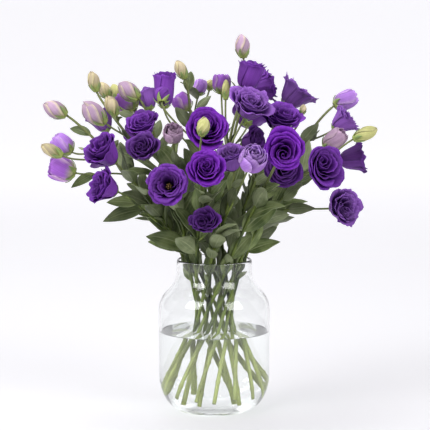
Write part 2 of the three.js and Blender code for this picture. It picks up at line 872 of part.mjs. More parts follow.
place("glass_vase", vase(), GLASS);
place(
  "water",
  layouts.reduce((water, layout) => water.subtract(stemHole(layout)), waterBody()),
  WATER,
);
layouts.forEach((layout, i) => {
  place(numbered("leafy_stem", i + 1), leafyStem(layout, leaves[i]), GREEN);
});
layouts
  .flatMap((layout) => layout.heads)
  .filter((head) => head.form !== "bud")
  .forEach((head, i) => place(numbered("bloom", i + 1), bloom(head), PETALS[head.form]));

export default part;
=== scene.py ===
"""A bouquet of violet lisianthus in a clear glass jar vase of water.

The tables and the rules of growth are those of the part's source, so each piece lies where its
solid lies. This script dresses the solids: thin petals in spiral layers, twisted buds in their
sepals, keeled and veined leaves, smooth stems, thick clear glass and water. Lengths are
millimetres in the tables, as in the part's source, and metres in the meshes.
"""

import logging
import math
from collections.abc import Iterator, Sequence
from dataclasses import dataclass, field
from enum import Enum

import bpy
import numpy as np
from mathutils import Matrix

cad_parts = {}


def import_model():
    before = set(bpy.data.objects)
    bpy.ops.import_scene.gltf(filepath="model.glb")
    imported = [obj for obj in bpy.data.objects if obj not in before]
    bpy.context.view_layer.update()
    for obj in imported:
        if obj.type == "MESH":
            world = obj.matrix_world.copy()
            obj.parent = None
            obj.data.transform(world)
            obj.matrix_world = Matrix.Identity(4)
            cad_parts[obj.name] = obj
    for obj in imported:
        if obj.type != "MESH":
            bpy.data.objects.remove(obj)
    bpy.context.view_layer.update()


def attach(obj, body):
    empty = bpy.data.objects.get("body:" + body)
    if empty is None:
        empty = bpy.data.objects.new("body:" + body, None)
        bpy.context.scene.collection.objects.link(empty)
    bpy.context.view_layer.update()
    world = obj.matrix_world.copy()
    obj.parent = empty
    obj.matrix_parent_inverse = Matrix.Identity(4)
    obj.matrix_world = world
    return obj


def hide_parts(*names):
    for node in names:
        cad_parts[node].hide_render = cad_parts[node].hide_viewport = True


LOG = logging.getLogger("bouquet")
MM = 0.001
BODY = "root"

Array = np.ndarray
Colour = tuple[float, float, float]
Piece = bpy.types.Object


# Shader expressions


class Wire:
    """A shader socket that can be used in a Python expression."""

    def __init__(self, shader: "Shader", socket: bpy.types.NodeSocket) -> None:
        """Keeps the shader that the socket is in, so that an expression can add nodes to it."""
        self.shader = shader
        self.socket = socket

    def _math(self, operation: str, *values: "Wire | float") -> "Wire":
        """Adds a Math node on the given values."""
        return self.shader.node(
            "ShaderNodeMath", {"operation": operation}, dict(enumerate(values))
        )

    def __add__(self, other: "Wire | float") -> "Wire":
        """Adds."""
        return self._math("ADD", self, other)

    __radd__ = __add__

    def __sub__(self, other: "Wire | float") -> "Wire":
        """Subtracts."""
        return self._math("SUBTRACT", self, other)

    def __rsub__(self, other: "Wire | float") -> "Wire":
        """Subtracts this from a number."""
        return self._math("SUBTRACT", other, self)

    def __mul__(self, other: "Wire | float") -> "Wire":
        """Multiplies."""
        return self._math("MULTIPLY", self, other)

    __rmul__ = __mul__

    def size(self) -> "Wire":
        """The value without its sign."""
        return self._math("ABSOLUTE", self)

    def span(self, low: float, high: float) -> "Wire":
        """Stretches a value from 0 to 1 over a range."""
        return self * (high - low) + low

    def ramp(self, low: float, high: float) -> "Wire":
        """Rises smoothly from 0 at low to 1 at high."""
        return self.shader.node(
            "ShaderNodeMapRange",
            {"interpolation_type": "SMOOTHSTEP"},
            {"Value": self, "From Min": low, "From Max": high},
        )


class Shader:
    """A material being wired up."""

    def __init__(self, name: str) -> None:
        """Starts an empty node tree.

        Args:
            name: The material's name.
        """
        self.material = bpy.data.materials.new(name)
        self.material.use_nodes = True
        self.tree = self.material.node_tree
        self.tree.nodes.clear()

    def node(
        self,
        kind: str,
        settings: dict[str, object] | None = None,
        inputs: dict[str | int, object] | None = None,
        output: str | int = 0,
    ) -> Wire:
        """Adds a node.

        Args:
            kind: The node's type name.
            settings: Properties to set first.
            inputs: Values or wires for its sockets.
            output: The output socket to give back.

        Returns:
            The output, as a wire.
        """
        made = self.tree.nodes.new(kind)
        for key, value in (settings or {}).items():
            setattr(made, key, value)
        for key, value in (inputs or {}).items():
            if isinstance(value, Wire):
                self.tree.links.new(value.socket, made.inputs[key])
            elif isinstance(value, tuple) and len(value) == 3 and made.inputs[key].type == "RGBA":
                made.inputs[key].default_value = (*value, 1.0)
            else:
                made.inputs[key].default_value = value
        return Wire(self, made.outputs[output])

    def blend(self, share: Wire | float, low: Wire | Colour, high: Wire | Colour) -> Wire:
        """Mixes two colours."""
        settings = {"data_type": "RGBA", "clamp_factor": True}
        return self.node("ShaderNodeMix", settings, {0: share, 6: low, 7: high}, 2)

    def layered(self, share: Wire | float, low: Wire, high: Wire) -> Wire:
        """Mixes two surfaces."""
        return self.node("ShaderNodeMixShader", None, {0: share, 1: low, 2: high})

    def dim(self, colour: Wire | Colour, value: Wire) -> Wire:
        """Scales a colour's brightness."""
        settings = {"operation": "SCALE"}
        return self.node("ShaderNodeVectorMath", settings, {0: colour, "Scale": value})

    def axis(self, source: Wire, letter: str) -> Wire:
        """One of a vector's three coordinates."""
        return self.node("ShaderNodeSeparateXYZ", None, {"Vector": source}, letter)

    def stretch(self, source: Wire, scale: tuple[float, float, float]) -> Wire:
        """Scales coordinates."""
        return self.node("ShaderNodeMapping", None, {"Vector": source, "Scale": scale})

    def noise(self, at: Wire, scale: float, detail: float = 3.0) -> Wire:
        """Soft noise from 0 to 1."""
        inputs = {"Vector": at, "Scale": scale, "Detail": detail}
        return self.node("ShaderNodeTexNoise", None, inputs)

    def place(self, output: str = "Object") -> Wire:
        """The piece's own coordinates."""
        return self.node("ShaderNodeTexCoord", None, None, output)

    def reading(self, name: str) -> Wire:
        """A value that is stored on the mesh."""
        settings = {"attribute_type": "GEOMETRY", "attribute_name": name}
        return self.node("ShaderNodeAttribute", settings, None, "Fac")

    def bump(self, height: Wire, strength: float, depth: float) -> Wire:
        """Turns a height into a normal."""
        inputs = {"Height": height, "Strength": strength, "Distance": depth}
        return self.node("ShaderNodeBump", None, inputs)

    def skin(self, inputs: dict[str | int, object]) -> Wire:
        """A Principled surface."""
        return self.node("ShaderNodeBsdfPrincipled", None, inputs)

    def translucent(self, colour: Colour) -> Wire:
        """A thin surface that light shines through."""
        return self.node("ShaderNodeBsdfTranslucent", None, {"Color": colour})

    def done(self, surface: Wire) -> bpy.types.Material:
        """Wires the surface to the output and gives the material."""
        output = self.tree.nodes.new("ShaderNodeOutputMaterial")
        self.tree.links.new(surface.socket, output.inputs["Surface"])
        return self.material


# Finishes


@dataclass(frozen=True)
class PetalFinish:
    """Velvety petals, finely veined and paler at the margins, with painted shade and highlight.

    The colours are those of a petal low down, over its face, at its rim, on its back and along its
    side margins. Low down it is its own base colour, which in the dark hues is also painted shade in
    the folds; the rim's colour is partly its own paler edge and partly a painted highlight. The
    shares along a petal run from 0 at its base to 1 at its rim: its own colour comes up over open_at,
    on the back over back_at where that is given, and the rim's over rim_tint_and_highlight_at.
    """

    name: str
    base_and_shade: Colour
    face: Colour
    rim: Colour
    back: Colour
    margin: Colour
    margin_share: float = 0.25
    open_at: tuple[float, float] = (0.38, 0.92)
    glow: float = 0.16
    back_at: tuple[float, float] | None = None
    rim_tint_and_highlight_at: tuple[float, float] = (0.8, 1.0)
    rim_tint_and_highlight_share: float = 0.6
    margin_at: tuple[float, float] = (0.45, 0.95)
    vein_stretch: tuple[float, float, float] = (30.0, 1.3, 1.0)
    cloud_scale: float = 70.0

    def paint(self, back: bool) -> bpy.types.Material:
        """Makes the material of one side.

        Args:
            back: Whether it is the petal's back.

        Returns:
            The material.
        """
        shader = Shader(f"petal_{self.name}_{'back' if back else 'face'}")
        uv = shader.place("UV")
        across = shader.axis(uv, "X").span(-1, 1)
        along = shader.axis(uv, "Y")
        tone = shader.reading("tone")
        vein = shader.noise(shader.stretch(uv, self.vein_stretch), 1.0, 2.0)
        cloud = shader.noise(shader.place(), self.cloud_scale)
        main = self.back if back else self.face
        reach = self.back_at if back and self.back_at else self.open_at
        # Low down each petal keeps its base colour, which in the dark hues is also painted shade in
        # the folds.
        colour = shader.blend(along.ramp(*reach), self.base_and_shade, main)
        # Towards the rim the colour lightens: partly the petal's own paler edge, partly a painted
        # highlight.
        colour = shader.blend(along.ramp(*self.rim_tint_and_highlight_at) * self.rim_tint_and_highlight_share, colour, self.rim)
        edge = (across.size() + cloud.span(-0.25, 0.25)).ramp(*self.margin_at)
        colour = shader.blend(edge * self.margin_share, colour, self.margin)
        # The tone carries painted shade on the inner petals as well as a random difference per petal.
        value = tone.span(0.75, 1.25) * vein.span(0.5, 1.5) * cloud.span(0.75, 1.25)
        colour = shader.dim(colour, value)
        skin = shader.skin(
            {
                "Base Color": colour,
                "Roughness": 0.5,
                "Normal": shader.bump(vein + cloud * 0.6, 0.5, 0.5 * MM),
                "Sheen Weight": 0.05,
                "Sheen Roughness": 0.35,
                "Sheen Tint": (*self.rim, 1.0),
                "Specular IOR Level": 0.16,
            }
        )
        return shader.done(shader.layered(self.glow, skin, shader.translucent(self.rim)))


# The backs of the open blooms' petals show their own colour almost from the base.
BACK_FROM_BASE = (-0.6, 0.35)


class Hue(Enum):
    """The colours that the heads come in."""

    VIOLET = PetalFinish(
        "violet", (0.025, 0.003, 0.066), (0.162, 0.034, 0.35), (0.207, 0.049, 0.43),
        (0.188, 0.048, 0.365), (0.216, 0.058, 0.425), back_at=BACK_FROM_BASE,
    )
    BRIGHT = PetalFinish(
        "bright", (0.03, 0.002, 0.08), (0.158, 0.018, 0.37), (0.21, 0.03, 0.47),
        (0.158, 0.026, 0.34), (0.21, 0.038, 0.44), back_at=BACK_FROM_BASE,
    )
    DARK = PetalFinish(
        "dark", (0.018, 0.003, 0.05), (0.117, 0.03, 0.24), (0.144, 0.04, 0.29),
        (0.144, 0.045, 0.26), (0.153, 0.05, 0.28), back_at=BACK_FROM_BASE,
    )
    SOFT = PetalFinish(
        "soft", (0.055, 0.014, 0.12), (0.24, 0.085, 0.43), (0.29, 0.12, 0.5),
        (0.26, 0.1, 0.45), (0.33, 0.16, 0.5), back_at=BACK_FROM_BASE,
    )
    MAUVE = PetalFinish(
        "mauve", (0.44, 0.42, 0.27), (0.36, 0.16, 0.62), (0.6, 0.38, 0.8),
        (0.44, 0.21, 0.68), (0.7, 0.48, 0.8), 0.6, (0.05, 0.4),
    )
    ROSE = PetalFinish(
        "rose", (0.36, 0.28, 0.24), (0.3, 0.18, 0.32), (0.46, 0.31, 0.45),
        (0.38, 0.25, 0.36), (0.56, 0.42, 0.48), 0.6, (0.05, 0.6),
    )
    PURPLE = PetalFinish(
        "purple", (0.54, 0.54, 0.28), (0.26, 0.07, 0.51), (0.41, 0.16, 0.63),
        (0.35, 0.125, 0.56), (0.66, 0.47, 0.6), 0.7, (0.12, 0.5),
    )
    LILAC = PetalFinish(
        "lilac", (0.44, 0.45, 0.19), (0.37, 0.235, 0.38), (0.5, 0.37, 0.45),
        (0.44, 0.3, 0.43), (0.64, 0.55, 0.4), 0.85, (0.1, 0.5), 0.1,
    )
    CREAM = PetalFinish(
        "cream", (0.36, 0.4, 0.12), (0.46, 0.33, 0.31), (0.56, 0.46, 0.3),
        (0.5, 0.42, 0.28), (0.62, 0.55, 0.3), 0.9, (0.15, 0.6), 0.1,
    )
    LIME = PetalFinish(
        "lime", (0.32, 0.4, 0.1), (0.47, 0.44, 0.2), (0.56, 0.52, 0.28),
        (0.5, 0.5, 0.2), (0.66, 0.64, 0.3), 0.7, (0.1, 0.5), 0.1,
    )


@dataclass(frozen=True)
class LeafFinish:
    """Glaucous leaves with a pale midrib and side veins, paler underneath.

    The midrib fades out over a range of shares across half a leaf, and each side vein has its place
    across, its half width and its strength.
    """

    name: str
    face: Colour
    shade: Colour
    vein: Colour
    through: Colour = (0.2, 0.32, 0.07)
    glow: float = 0.14
    midrib: tuple[float, float] = (0.02, 0.09)
    side_veins: tuple[tuple[float, float, float], ...] = ((0.38, 0.07, 0.45), (0.72, 0.06, 0.3))
    cloud_scale: float = 55.0
    fleck_stretch: tuple[float, float, float] = (30.0, 9.0, 1.0)

    def paint(self) -> bpy.types.Material:
        """Makes the material."""
        shader = Shader(self.name)
        uv = shader.place("UV")
        side = shader.axis(uv, "X").span(-1, 1).size()
        veins = 1 - side.ramp(*self.midrib)
        for place, width, strength in self.side_veins:
            veins = veins + (1 - (side - place).size().ramp(0.0, width)) * strength
        cloud = shader.noise(shader.place(), self.cloud_scale)
        fleck = shader.noise(shader.stretch(uv, self.fleck_stretch), 1.0)
        colour = shader.blend(cloud.ramp(0.3, 0.72), self.shade, self.face)
        colour = shader.blend(veins * 0.6, colour, self.vein)
        colour = shader.dim(colour, shader.reading("tone").span(0.55, 1.55) * fleck.span(0.8, 1.2))
        skin = shader.skin(
            {
                "Base Color": colour,
                "Roughness": cloud.span(0.38, 0.53),
                "Normal": shader.bump(fleck * 0.5 - veins, 0.4, 0.5 * MM),
                "Specular IOR Level": 0.35,
            }
        )
        return shader.done(shader.layered(self.glow, skin, shader.translucent(self.through)))


@dataclass(frozen=True)
class StemFinish:
    """Smooth green stems, some darker than others, paler and yellower towards the cut foot.

    The ranges are heights in metres: the foot's colour gives way over the first, and the paler one
    of the stalks comes up over the second.
    """

    top: Colour = (0.14, 0.19, 0.036)
    dark: Colour = (0.028, 0.048, 0.009)
    foot: Colour = (0.26, 0.3, 0.09)
    stalk: Colour = (0.2, 0.225, 0.085)
    foot_to: tuple[float, float] = (0.07, 0.12)
    stalk_from: tuple[float, float] = (0.27, 0.36)
    stalk_share: float = 0.8
    dark_at: tuple[float, float] = (0.36, 0.62)

    def paint(self) -> bpy.types.Material:
        """Makes the material."""
        shader = Shader("stem_green")
        place = shader.place()
        height = shader.axis(place, "Z")
        streak = shader.noise(shader.stretch(place, (1.0, 1.0, 0.06)), 700.0)
        cloud = shader.noise(place, 24.0)
        bands = shader.noise(shader.stretch(place, (1.0, 1.0, 0.1)), 75.0, 1.0)
        apart = bands.ramp(*self.dark_at)
        colour = shader.blend(apart, self.dark, self.top)
        foot = shader.dim(self.foot, apart.span(0.72, 1.17))
        colour = shader.blend(height.ramp(*self.foot_to), foot, colour)
        colour = shader.blend(height.ramp(*self.stalk_from) * self.stalk_share, colour, self.stalk)
        colour = shader.dim(colour, streak.span(0.55, 1.45) * cloud.span(0.76, 1.26))
        skin = shader.skin(
            {
                "Base Color": colour,
                "Roughness": 0.42,
                "Normal": shader.bump(streak, 0.3, 0.3 * MM),
                "Specular IOR Level": 0.3,
            }
        )
        return shader.done(skin)


@dataclass(frozen=True)
class SepalFinish:
    """Yellow-green sepals, ribbed along their length and greener towards the tip."""

    low: Colour = (0.34, 0.42, 0.1)
    high: Colour = (0.2, 0.29, 0.09)
    high_at: tuple[float, float] = (0.0, 0.8)
    rib_stretch: tuple[float, float, float] = (14.0, 1.5, 1.0)

    def paint(self) -> bpy.types.Material:
        """Makes the material."""
        shader = Shader("sepal_green")
        uv = shader.place("UV")
        rib = shader.noise(shader.stretch(uv, self.rib_stretch), 1.0)
        colour = shader.blend(shader.axis(uv, "Y").ramp(*self.high_at), self.low, self.high)
        colour = shader.dim(colour, rib.span(0.7, 1.3))
        skin = shader.skin(
            {"Base Color": colour, "Roughness": 0.45, "Normal": shader.bump(rib, 0.3, 0.3 * MM)}
        )
        return shader.done(skin)


@dataclass(frozen=True)
class ClearFinish:
    """Clear glass or water, which lets the lamps' light through."""

    name: str
    bend: float
    tint: Colour = (0.985, 0.995, 0.99)

    def paint(self) -> bpy.types.Material:
        """Makes the material."""
        shader = Shader(self.name)
        skin = shader.skin(
            {
                "Base Color": (*self.tint, 1.0),
                "Roughness": 0.0,
                "IOR": self.bend,
                "Transmission Weight": 1.0,
            }
        )
        lamp = shader.node("ShaderNodeLightPath", None, None, "Is Shadow Ray")
        clear = shader.node("ShaderNodeBsdfTransparent", None, {"Color": (*self.tint, 1.0)})
        return shader.done(shader.layered(lamp, skin, clear))


@dataclass(frozen=True)
class PlainFinish:
    """A matt surface, which may be mottled, or glow with painted light, more so further back."""

    name: str
    colour: Colour
    roughness: float = 0.6
    mottle: float = 0.0
    mottle_scale: float = 300.0
    painted_glow: Colour | None = None
    painted_glow_over: tuple[float, float] = (0.0, 5.0)

    def paint(self) -> bpy.types.Material:
        """Makes the material."""
        shader = Shader(self.name)
        place = shader.place()
        inputs: dict[str | int, object] = {"Base Color": self.colour, "Roughness": self.roughness}
        if self.mottle:
            cloud = shader.noise(place, self.mottle_scale)
            shade = cloud.span(1 - self.mottle / 2, 1 + self.mottle / 2)
            inputs["Base Color"] = shader.dim(self.colour, shade)
        # Painted light: the surface glows, more the further back it reaches, standing in for lamp
        # light.
        if self.painted_glow:
            away = shader.axis(place, "Y").ramp(*self.painted_glow_over)
            inputs["Emission Color"] = shader.blend(away, (0.0, 0.0, 0.0), self.painted_glow)
            inputs["Emission Strength"] = 1.0
        return shader.done(shader.skin(inputs))


# The arrangement, with the sizes of the part's source


class Form(Enum):
    """How far a head has opened, and in what shape."""

    DOUBLE = "double"
    OPEN = "open"
    BELL = "bell"
    BARREL = "barrel"
    GLOBE = "globe"
    ROSETTE = "rosette"
    BUD = "bud"


@dataclass(frozen=True)
class Ring:
    """A ring of stems at the spiral's waist: its radius, their lean, their number and the first."""

    radius: float
    lean: float
    count: int
    first_angle: float


# Lengths are in millimetres, angles, rises, rolls and spreads in degrees, the fork's lean in
# radians, and the other leans are slopes. FOOT_ROOM is the radius that a foot may reach on the
# vase's floor and what its rounded heel adds, and HEEL is the floor's height and the heel's above
# it. A joint's or a sunk leaf's station is its distance up from the vase's mouth.
OUTER = Ring(24, 0.46, 13, 184)
INNER = Ring(10, 0.224, 4, 105)
WAIST_HEIGHT = 130
NECK_EXIT_HEIGHT = 216
FOOT_LOWEST = 12.5
FOOT_SPREAD = 9
FOOT_SPLAY = 0.11
FOOT_ROOM = (33.0, 32.5)
HEEL = (8.5, 41.5)
LEAN_SPREAD = 0.16
ANGLE_SPREAD = 7
UPPER_LEAN = 1.07
FOOT_RADIUS = 2.5
WAIST_RADIUS = 2.4
NECK_RADIUS = 2.4
TOP_RADIUS = 1.6
STALK_RADIUS = 1.3
FORK_LEAN = 0.6
LEAVING_SHARE = 0.3
ARRIVING_SHARE = 0.3
LONGEST_ARRIVAL = 26
BEND_STEPS = 200
NUDGE = 1e-4
TINY = 1e-9
NECK_LIMIT = 211
STEM_WALK = 12
STALK_WALK = 8
HEART = (0.35, 0.72)
HEART_WIDTH = 0.98
NOBODY = -1
GOLDEN_ANGLE = 137.5
LEAF_JOINTS = ((-28, 1), (-3, 2), (27, 2), (60, 1))
LEAF_LENGTH = (54, 76)
NECK_LEAF_BELOW = -10
NECK_LEAF_SHARE = 0.6
LEAF_SLENDERNESS = 0.4
LEAF_THICKNESS = 1.6
LEAF_CLEARANCE = 2.2
LEAF_LINES = (-1, -0.5, 0, 0.5, 1)
LEAF_RISES = (60, 44, 72, 26)
NECK_LEAF_RISES = (82, 76, 70)
LEAF_SPREADS = (0, 30, -30, 60, -60, 95, -95)
LEAF_SCALES = (1, 0.8, 0.62)
LEAF_ROLL = 50
LEAF_DROOP = 0.17
LEAST_UPRIGHT = 0.42
LEAF_KEEL = 0.3
LEAF_WAVE = 0.14
LEAF_STEPS = 3
NECK_CLEAR_RADIUS = 45
LOWEST_LEAF = 140
FILLER_STEP = 8
FILLER_LOWEST = -20
FILLER_HIGHEST = 135
FILLER_SHORT_OF_HEAD = 20
FILLER_LENGTH = (34, 66)
FILLER_RISES = (58, 40, 74)
FILLER_ROLL = 70
NECK_FILLER_SHARE = 0.5
FILLER_CLEARANCE = 0.5
FORK_SHARES = (0.03, 0.35)
FORK_RISES = (55, 70)
FORK_LENGTH = (14, 34)
FORK_ROLL = 45
SUNK_STATIONS = (-62, -40)
SUNK_RISES = (70, 84, 50)
SUNK_LENGTH = (18, 30)
DOWN = np.array([0.0, 0.0, -1.0])
DRAW_FACTOR = 1664525
DRAW_STEP = 1013904223
DRAW_RANGE = 2**32


def heading(way: Sequence[float]) -> Array:
    """The unit vector that points the way given in degrees, round from +X and up."""
    turn, rise = math.radians(way[0]), math.radians(way[1])
    level = math.cos(rise)
    return np.array([level * math.cos(turn), level * math.sin(turn), math.sin(rise)])


def unit(vector: Array) -> Array:
    """The vector at length 1."""
    return vector / math.sqrt(float(vector @ vector))


def sideways(direction: Array) -> tuple[Array, Array]:
    """Two unit vectors square to a direction and to each other."""
    helper = np.array([1.0, 0, 0]) if abs(direction[2]) > 0.95 else np.array([0, 0, 1.0])
    across = unit(np.cross(helper, direction))
    return across, np.cross(direction, across)


def between(limits: tuple[float, float], share: float) -> float:
    """The value that lies a share of the way between two limits."""
    return limits[0] + (limits[1] - limits[0]) * share


def either_way(limit: float, share: float) -> float:
    """A value up to a limit to either side, for a share from 0 to 1."""
    return (share * 2 - 1) * limit


def draws(seed: int) -> Iterator[float]:
    """Random numbers from 0 to 1, the same on every run for the same seed."""
    state = seed
    while True:
        state = (state * DRAW_FACTOR + DRAW_STEP) % DRAW_RANGE
        yield state / DRAW_RANGE


@dataclass(frozen=True)
class Head:
    """A bloom or bud: its place in millimetres, its size and its colour.

    The facing is in degrees, round from +X and up. The fork is the share of the stem's way at
    which its stalk leaves, and isn't read for a stem's first head. The ruffle scales the waves of
    its petals.
    """

    form: Form
    middle: tuple[float, float, float]
    facing: tuple[float, float]
    radius: float
    length: float
    fork: float
    hue: Hue
    ruffle: float = 1.0

    @property
    def direction(self) -> Array:
        """The way the head faces."""
        return heading(self.facing)

    @property
    def seat(self) -> Array:
        """Where its stalk ends."""
        return np.array(self.middle, float) - self.direction * (self.length / 2)

    @property
    def turned(self) -> Array:
        """The rotation that takes +Z to the way the head faces, as a matrix."""
        x, y, z = self.direction
        cross = np.array([[0, 0, x], [0, 0, y], [-x, -y, 0]])
        return np.eye(3) + cross + cross @ cross / (1 + z)


@dataclass(frozen=True)
class Bend:
    """A cubic curve from one point to another."""

    points: Array

    def at(self, t: float) -> Array:
        """The point at a share of the way."""
        left = 1 - t
        a, b, c, d = self.points
        near = left * left * left * a + 3 * left * left * t * b
        return near + 3 * left * t * t * c + t * t * t * d

    def way(self, t: float) -> Array:
        """The direction at a share of the way."""
        return unit(self.at(min(t + NUDGE, 1.0)) - self.at(max(t - NUDGE, 0.0)))

    def walk(self, steps: int) -> list[Array]:
        """Evenly shared points, with both ends."""
        return [self.at(i / steps) for i in range(steps + 1)]

    def lengths(self) -> Array:
        """How far along each of many even steps is."""
        steps = np.diff(np.array(self.walk(BEND_STEPS)), axis=0)
        return np.concatenate([[0.0], np.cumsum(np.linalg.norm(steps, axis=1))])

    def share_at(self, distance: float) -> float:
        """The share of the way at a distance along it."""
        return float(np.interp(distance, self.lengths(), np.linspace(0, 1, BEND_STEPS + 1)))


def stalk_bend(start: Array, leave: Array, head: Head) -> Bend:
    """The curve of a stalk, from where it leaves to its head's seat."""
    end = head.seat
    reach = float(np.linalg.norm(end - start))
    leaving = start + leave * (reach * LEAVING_SHARE)
    arriving = end - head.direction * min(reach * ARRIVING_SHARE, LONGEST_ARRIVAL)
    return Bend(np.array([start, leaving, arriving, end]))


def foot_room(height: float) -> float:
    """The radius that a stem's foot may reach at a height in the rounded vase."""
    share = min((height - HEEL[0]) / HEEL[1], 1.0)
    return FOOT_ROOM[0] + FOOT_ROOM[1] * math.sqrt(1 - (1 - share) ** 2)


# Share along the line, the way's two angles, roll, length, and the line: 0 is the stem itself.
OwnLeaf = tuple[float, tuple[float, float], float, float, int]


@dataclass
class Stem:
    """One stem: its place in its ring, its heads and the leaves that are its own."""

    ring: Ring
    place: int
    seed: int
    heads: list[Head]
    own_leaves: tuple[OwnLeaf, ...] = ()
    foot: Array = field(init=False)
    waist: Array = field(init=False)
    exit: Array = field(init=False)
    climb: Array = field(init=False)
    main: Bend = field(init=False)
    stalks: list[Bend] = field(init=False)

    def __post_init__(self) -> None:
        """Lays out the stem's lines."""
        ring = self.ring
        random = draws(self.seed * 7919)
        cut = FOOT_LOWEST + FOOT_SPREAD * next(random)
        lean = ring.lean * (1 - LEAN_SPREAD * next(random))
        stray = ANGLE_SPREAD * (next(random) - 0.5)
        angle = math.radians(ring.first_angle + 360 / ring.count * self.place + stray)
        out = np.array([math.cos(angle), math.sin(angle), 0.0])
        self.waist = np.array([out[0] * ring.radius, out[1] * ring.radius, WAIST_HEIGHT])
        lower, upper = (
            np.array([-out[1] * lean * k, out[0] * lean * k, 1.0]) for k in (1, UPPER_LEAN)
        )
        lower = lower - out * FOOT_SPLAY
        self.foot = self.waist + lower * (cut - WAIST_HEIGHT)
        while np.hypot(*self.foot[:2]) >= foot_room(self.foot[2]):
            self.foot = self.foot + lower
        self.exit = self.waist + upper * (NECK_EXIT_HEIGHT - WAIST_HEIGHT)
        self.climb = unit(upper)
        self.main = stalk_bend(self.exit, self.climb, self.heads[0])
        self.stalks = [
            stalk_bend(self.main.at(h.fork), self.fork_way(h), h) for h in self.heads[1:]
        ]

    def station(self, distance: float) -> tuple[Array, Array]:
        """The point at a distance up from the vase's mouth, and the stem's way there."""
        if distance < 0:
            return self.exit + self.climb * distance, self.climb
        share = self.main.share_at(distance)
        return self.main.at(share), self.main.way(share)

    def fork_way(self, head: Head) -> Array:
        """The way a side stalk leaves the stem: leaning out from it, towards its head."""
        along = self.main.way(head.fork)
        towards = head.seat - self.main.at(head.fork)
        out = unit(towards - along * float(towards @ along))
        return along * math.cos(FORK_LEAN) + out * math.sin(FORK_LEAN)


@dataclass(frozen=True)
class Leaf:
    """A leaf in place: its root, the way it grows, its cross axis and its upper side."""

    root: Array
    way: Array
    across: Array
    face: Array
    length: float

    def lines(self) -> Array:
        """Lines along the leaf, as an array of lines by points by coordinates."""
        half = self.length * LEAF_SLENDERNESS / 2
        made = []
        for side in LEAF_LINES:
            line = []
            for i in range(LEAF_STEPS + 1):
                share = i / LEAF_STEPS
                width = half * math.sin(math.pi * share**0.75) if i else 1.0
                wave = LEAF_WAVE * half * (1 if i % 2 else -1) if i % LEAF_STEPS else 0.0
                point = self.root + self.way * (self.length * share)
                point = point + DOWN * (self.length * LEAF_DROOP * share * share)
                point = point + self.across * (side * width)
                line.append(point + self.face * (LEAF_KEEL * width * abs(side) + wave * side))
            made.append(line)
        return np.array(made)


@dataclass(frozen=True)
class Site:
    """Where a leaf may grow: its root, the stem's way there, the leaf's ways, size and roll."""

    root: Array
    along: Array
    ways: list[Array]
    size: float
    roll: float

    def leaf(self, way: Array, length: float) -> Leaf:
        """The leaf that grows one way from here."""
        level = unit(np.cross(self.along, way))
        turn = math.radians(self.roll)
        across = (
            level * math.cos(turn)
            + np.cross(way, level) * math.sin(turn)
            + way * (float(way @ level) * (1 - math.cos(turn)))
        )
        return Leaf(self.root, way, across, unit(np.cross(way, across)), length)


def gaps(start: Array, end: Array, starts: Array, ends: Array) -> Array:
    """How far one segment lies from each of many.

    Args:
        start: Where the one segment starts.
        end: Where it ends.
        starts: Where the others start, a row for each.
        ends: Where they end.

    Returns:
        The shortest distance to each.
    """
    u, v, w = end - start, ends - starts, start - starts
    uu, vv, uv = u @ u, (v * v).sum(1), v @ u
    uw, vw = w @ u, (v * w).sum(1)
    first = np.clip((uv * vw - vv * uw) / np.maximum(uu * vv - uv * uv, TINY), 0, 1)
    t = np.clip((uv * first + vw) / vv, 0, 1)
    s = np.clip((uv * t - uw) / uu, 0, 1)
    return np.linalg.norm(w + s[:, None] * u - t[:, None] * v, axis=1)


class Thicket:
    """Everything that a leaf has to keep clear of, as segments with a radius and an owner."""

    def __init__(self) -> None:
        """Starts with nothing."""
        self.starts = np.empty((0, 3))
        self.ends = np.empty((0, 3))
        self.radii = np.empty(0)
        self.owners = np.empty(0, int)

    def add_line(self, points: Sequence[Array], radius: float, owner: int) -> None:
        """Adds the segments of a line of points."""
        line = np.array(points)
        count = len(line) - 1
        self.starts = np.concatenate([self.starts, line[:-1]])
        self.ends = np.concatenate([self.ends, line[1:]])
        self.radii = np.concatenate([self.radii, np.full(count, float(radius))])
        self.owners = np.concatenate([self.owners, np.full(count, owner)])

    def clear_of(self, lines: Array, owner: int, clearance: float) -> bool:
        """Whether a leaf's lines keep clear of all that isn't their owner's.

        Args:
            lines: The leaf's lines.
            owner: The stem that it grows on.
            clearance: How far it has to be from everything.

        Returns:
            True if nothing is too near.
        """
        flat = lines.reshape(-1, 3)
        low = flat[:, 2] < NECK_LIMIT
        wide = np.hypot(flat[:, 0], flat[:, 1]) > NECK_CLEAR_RADIUS
        if (flat[:, 2] < LOWEST_LEAF).any() or (low & wide).any():
            return False
        middle = flat.mean(0)
        reach = np.linalg.norm(flat - middle, axis=1).max() + clearance + LEAF_THICKNESS
        halves = np.linalg.norm(self.ends - self.starts, axis=1) / 2
        away = np.linalg.norm((self.starts + self.ends) / 2 - middle, axis=1)
        near = (self.owners != owner) & (away < reach + halves + self.radii)
        if not near.any():
            return True
        starts, ends = self.starts[near], self.ends[near]
        least = clearance + LEAF_THICKNESS / 2 + self.radii[near]
        steps = zip(lines[:, :-1].reshape(-1, 3), lines[:, 1:].reshape(-1, 3))
        return not any((gaps(a, b, starts, ends) <= least).any() for a, b in steps)


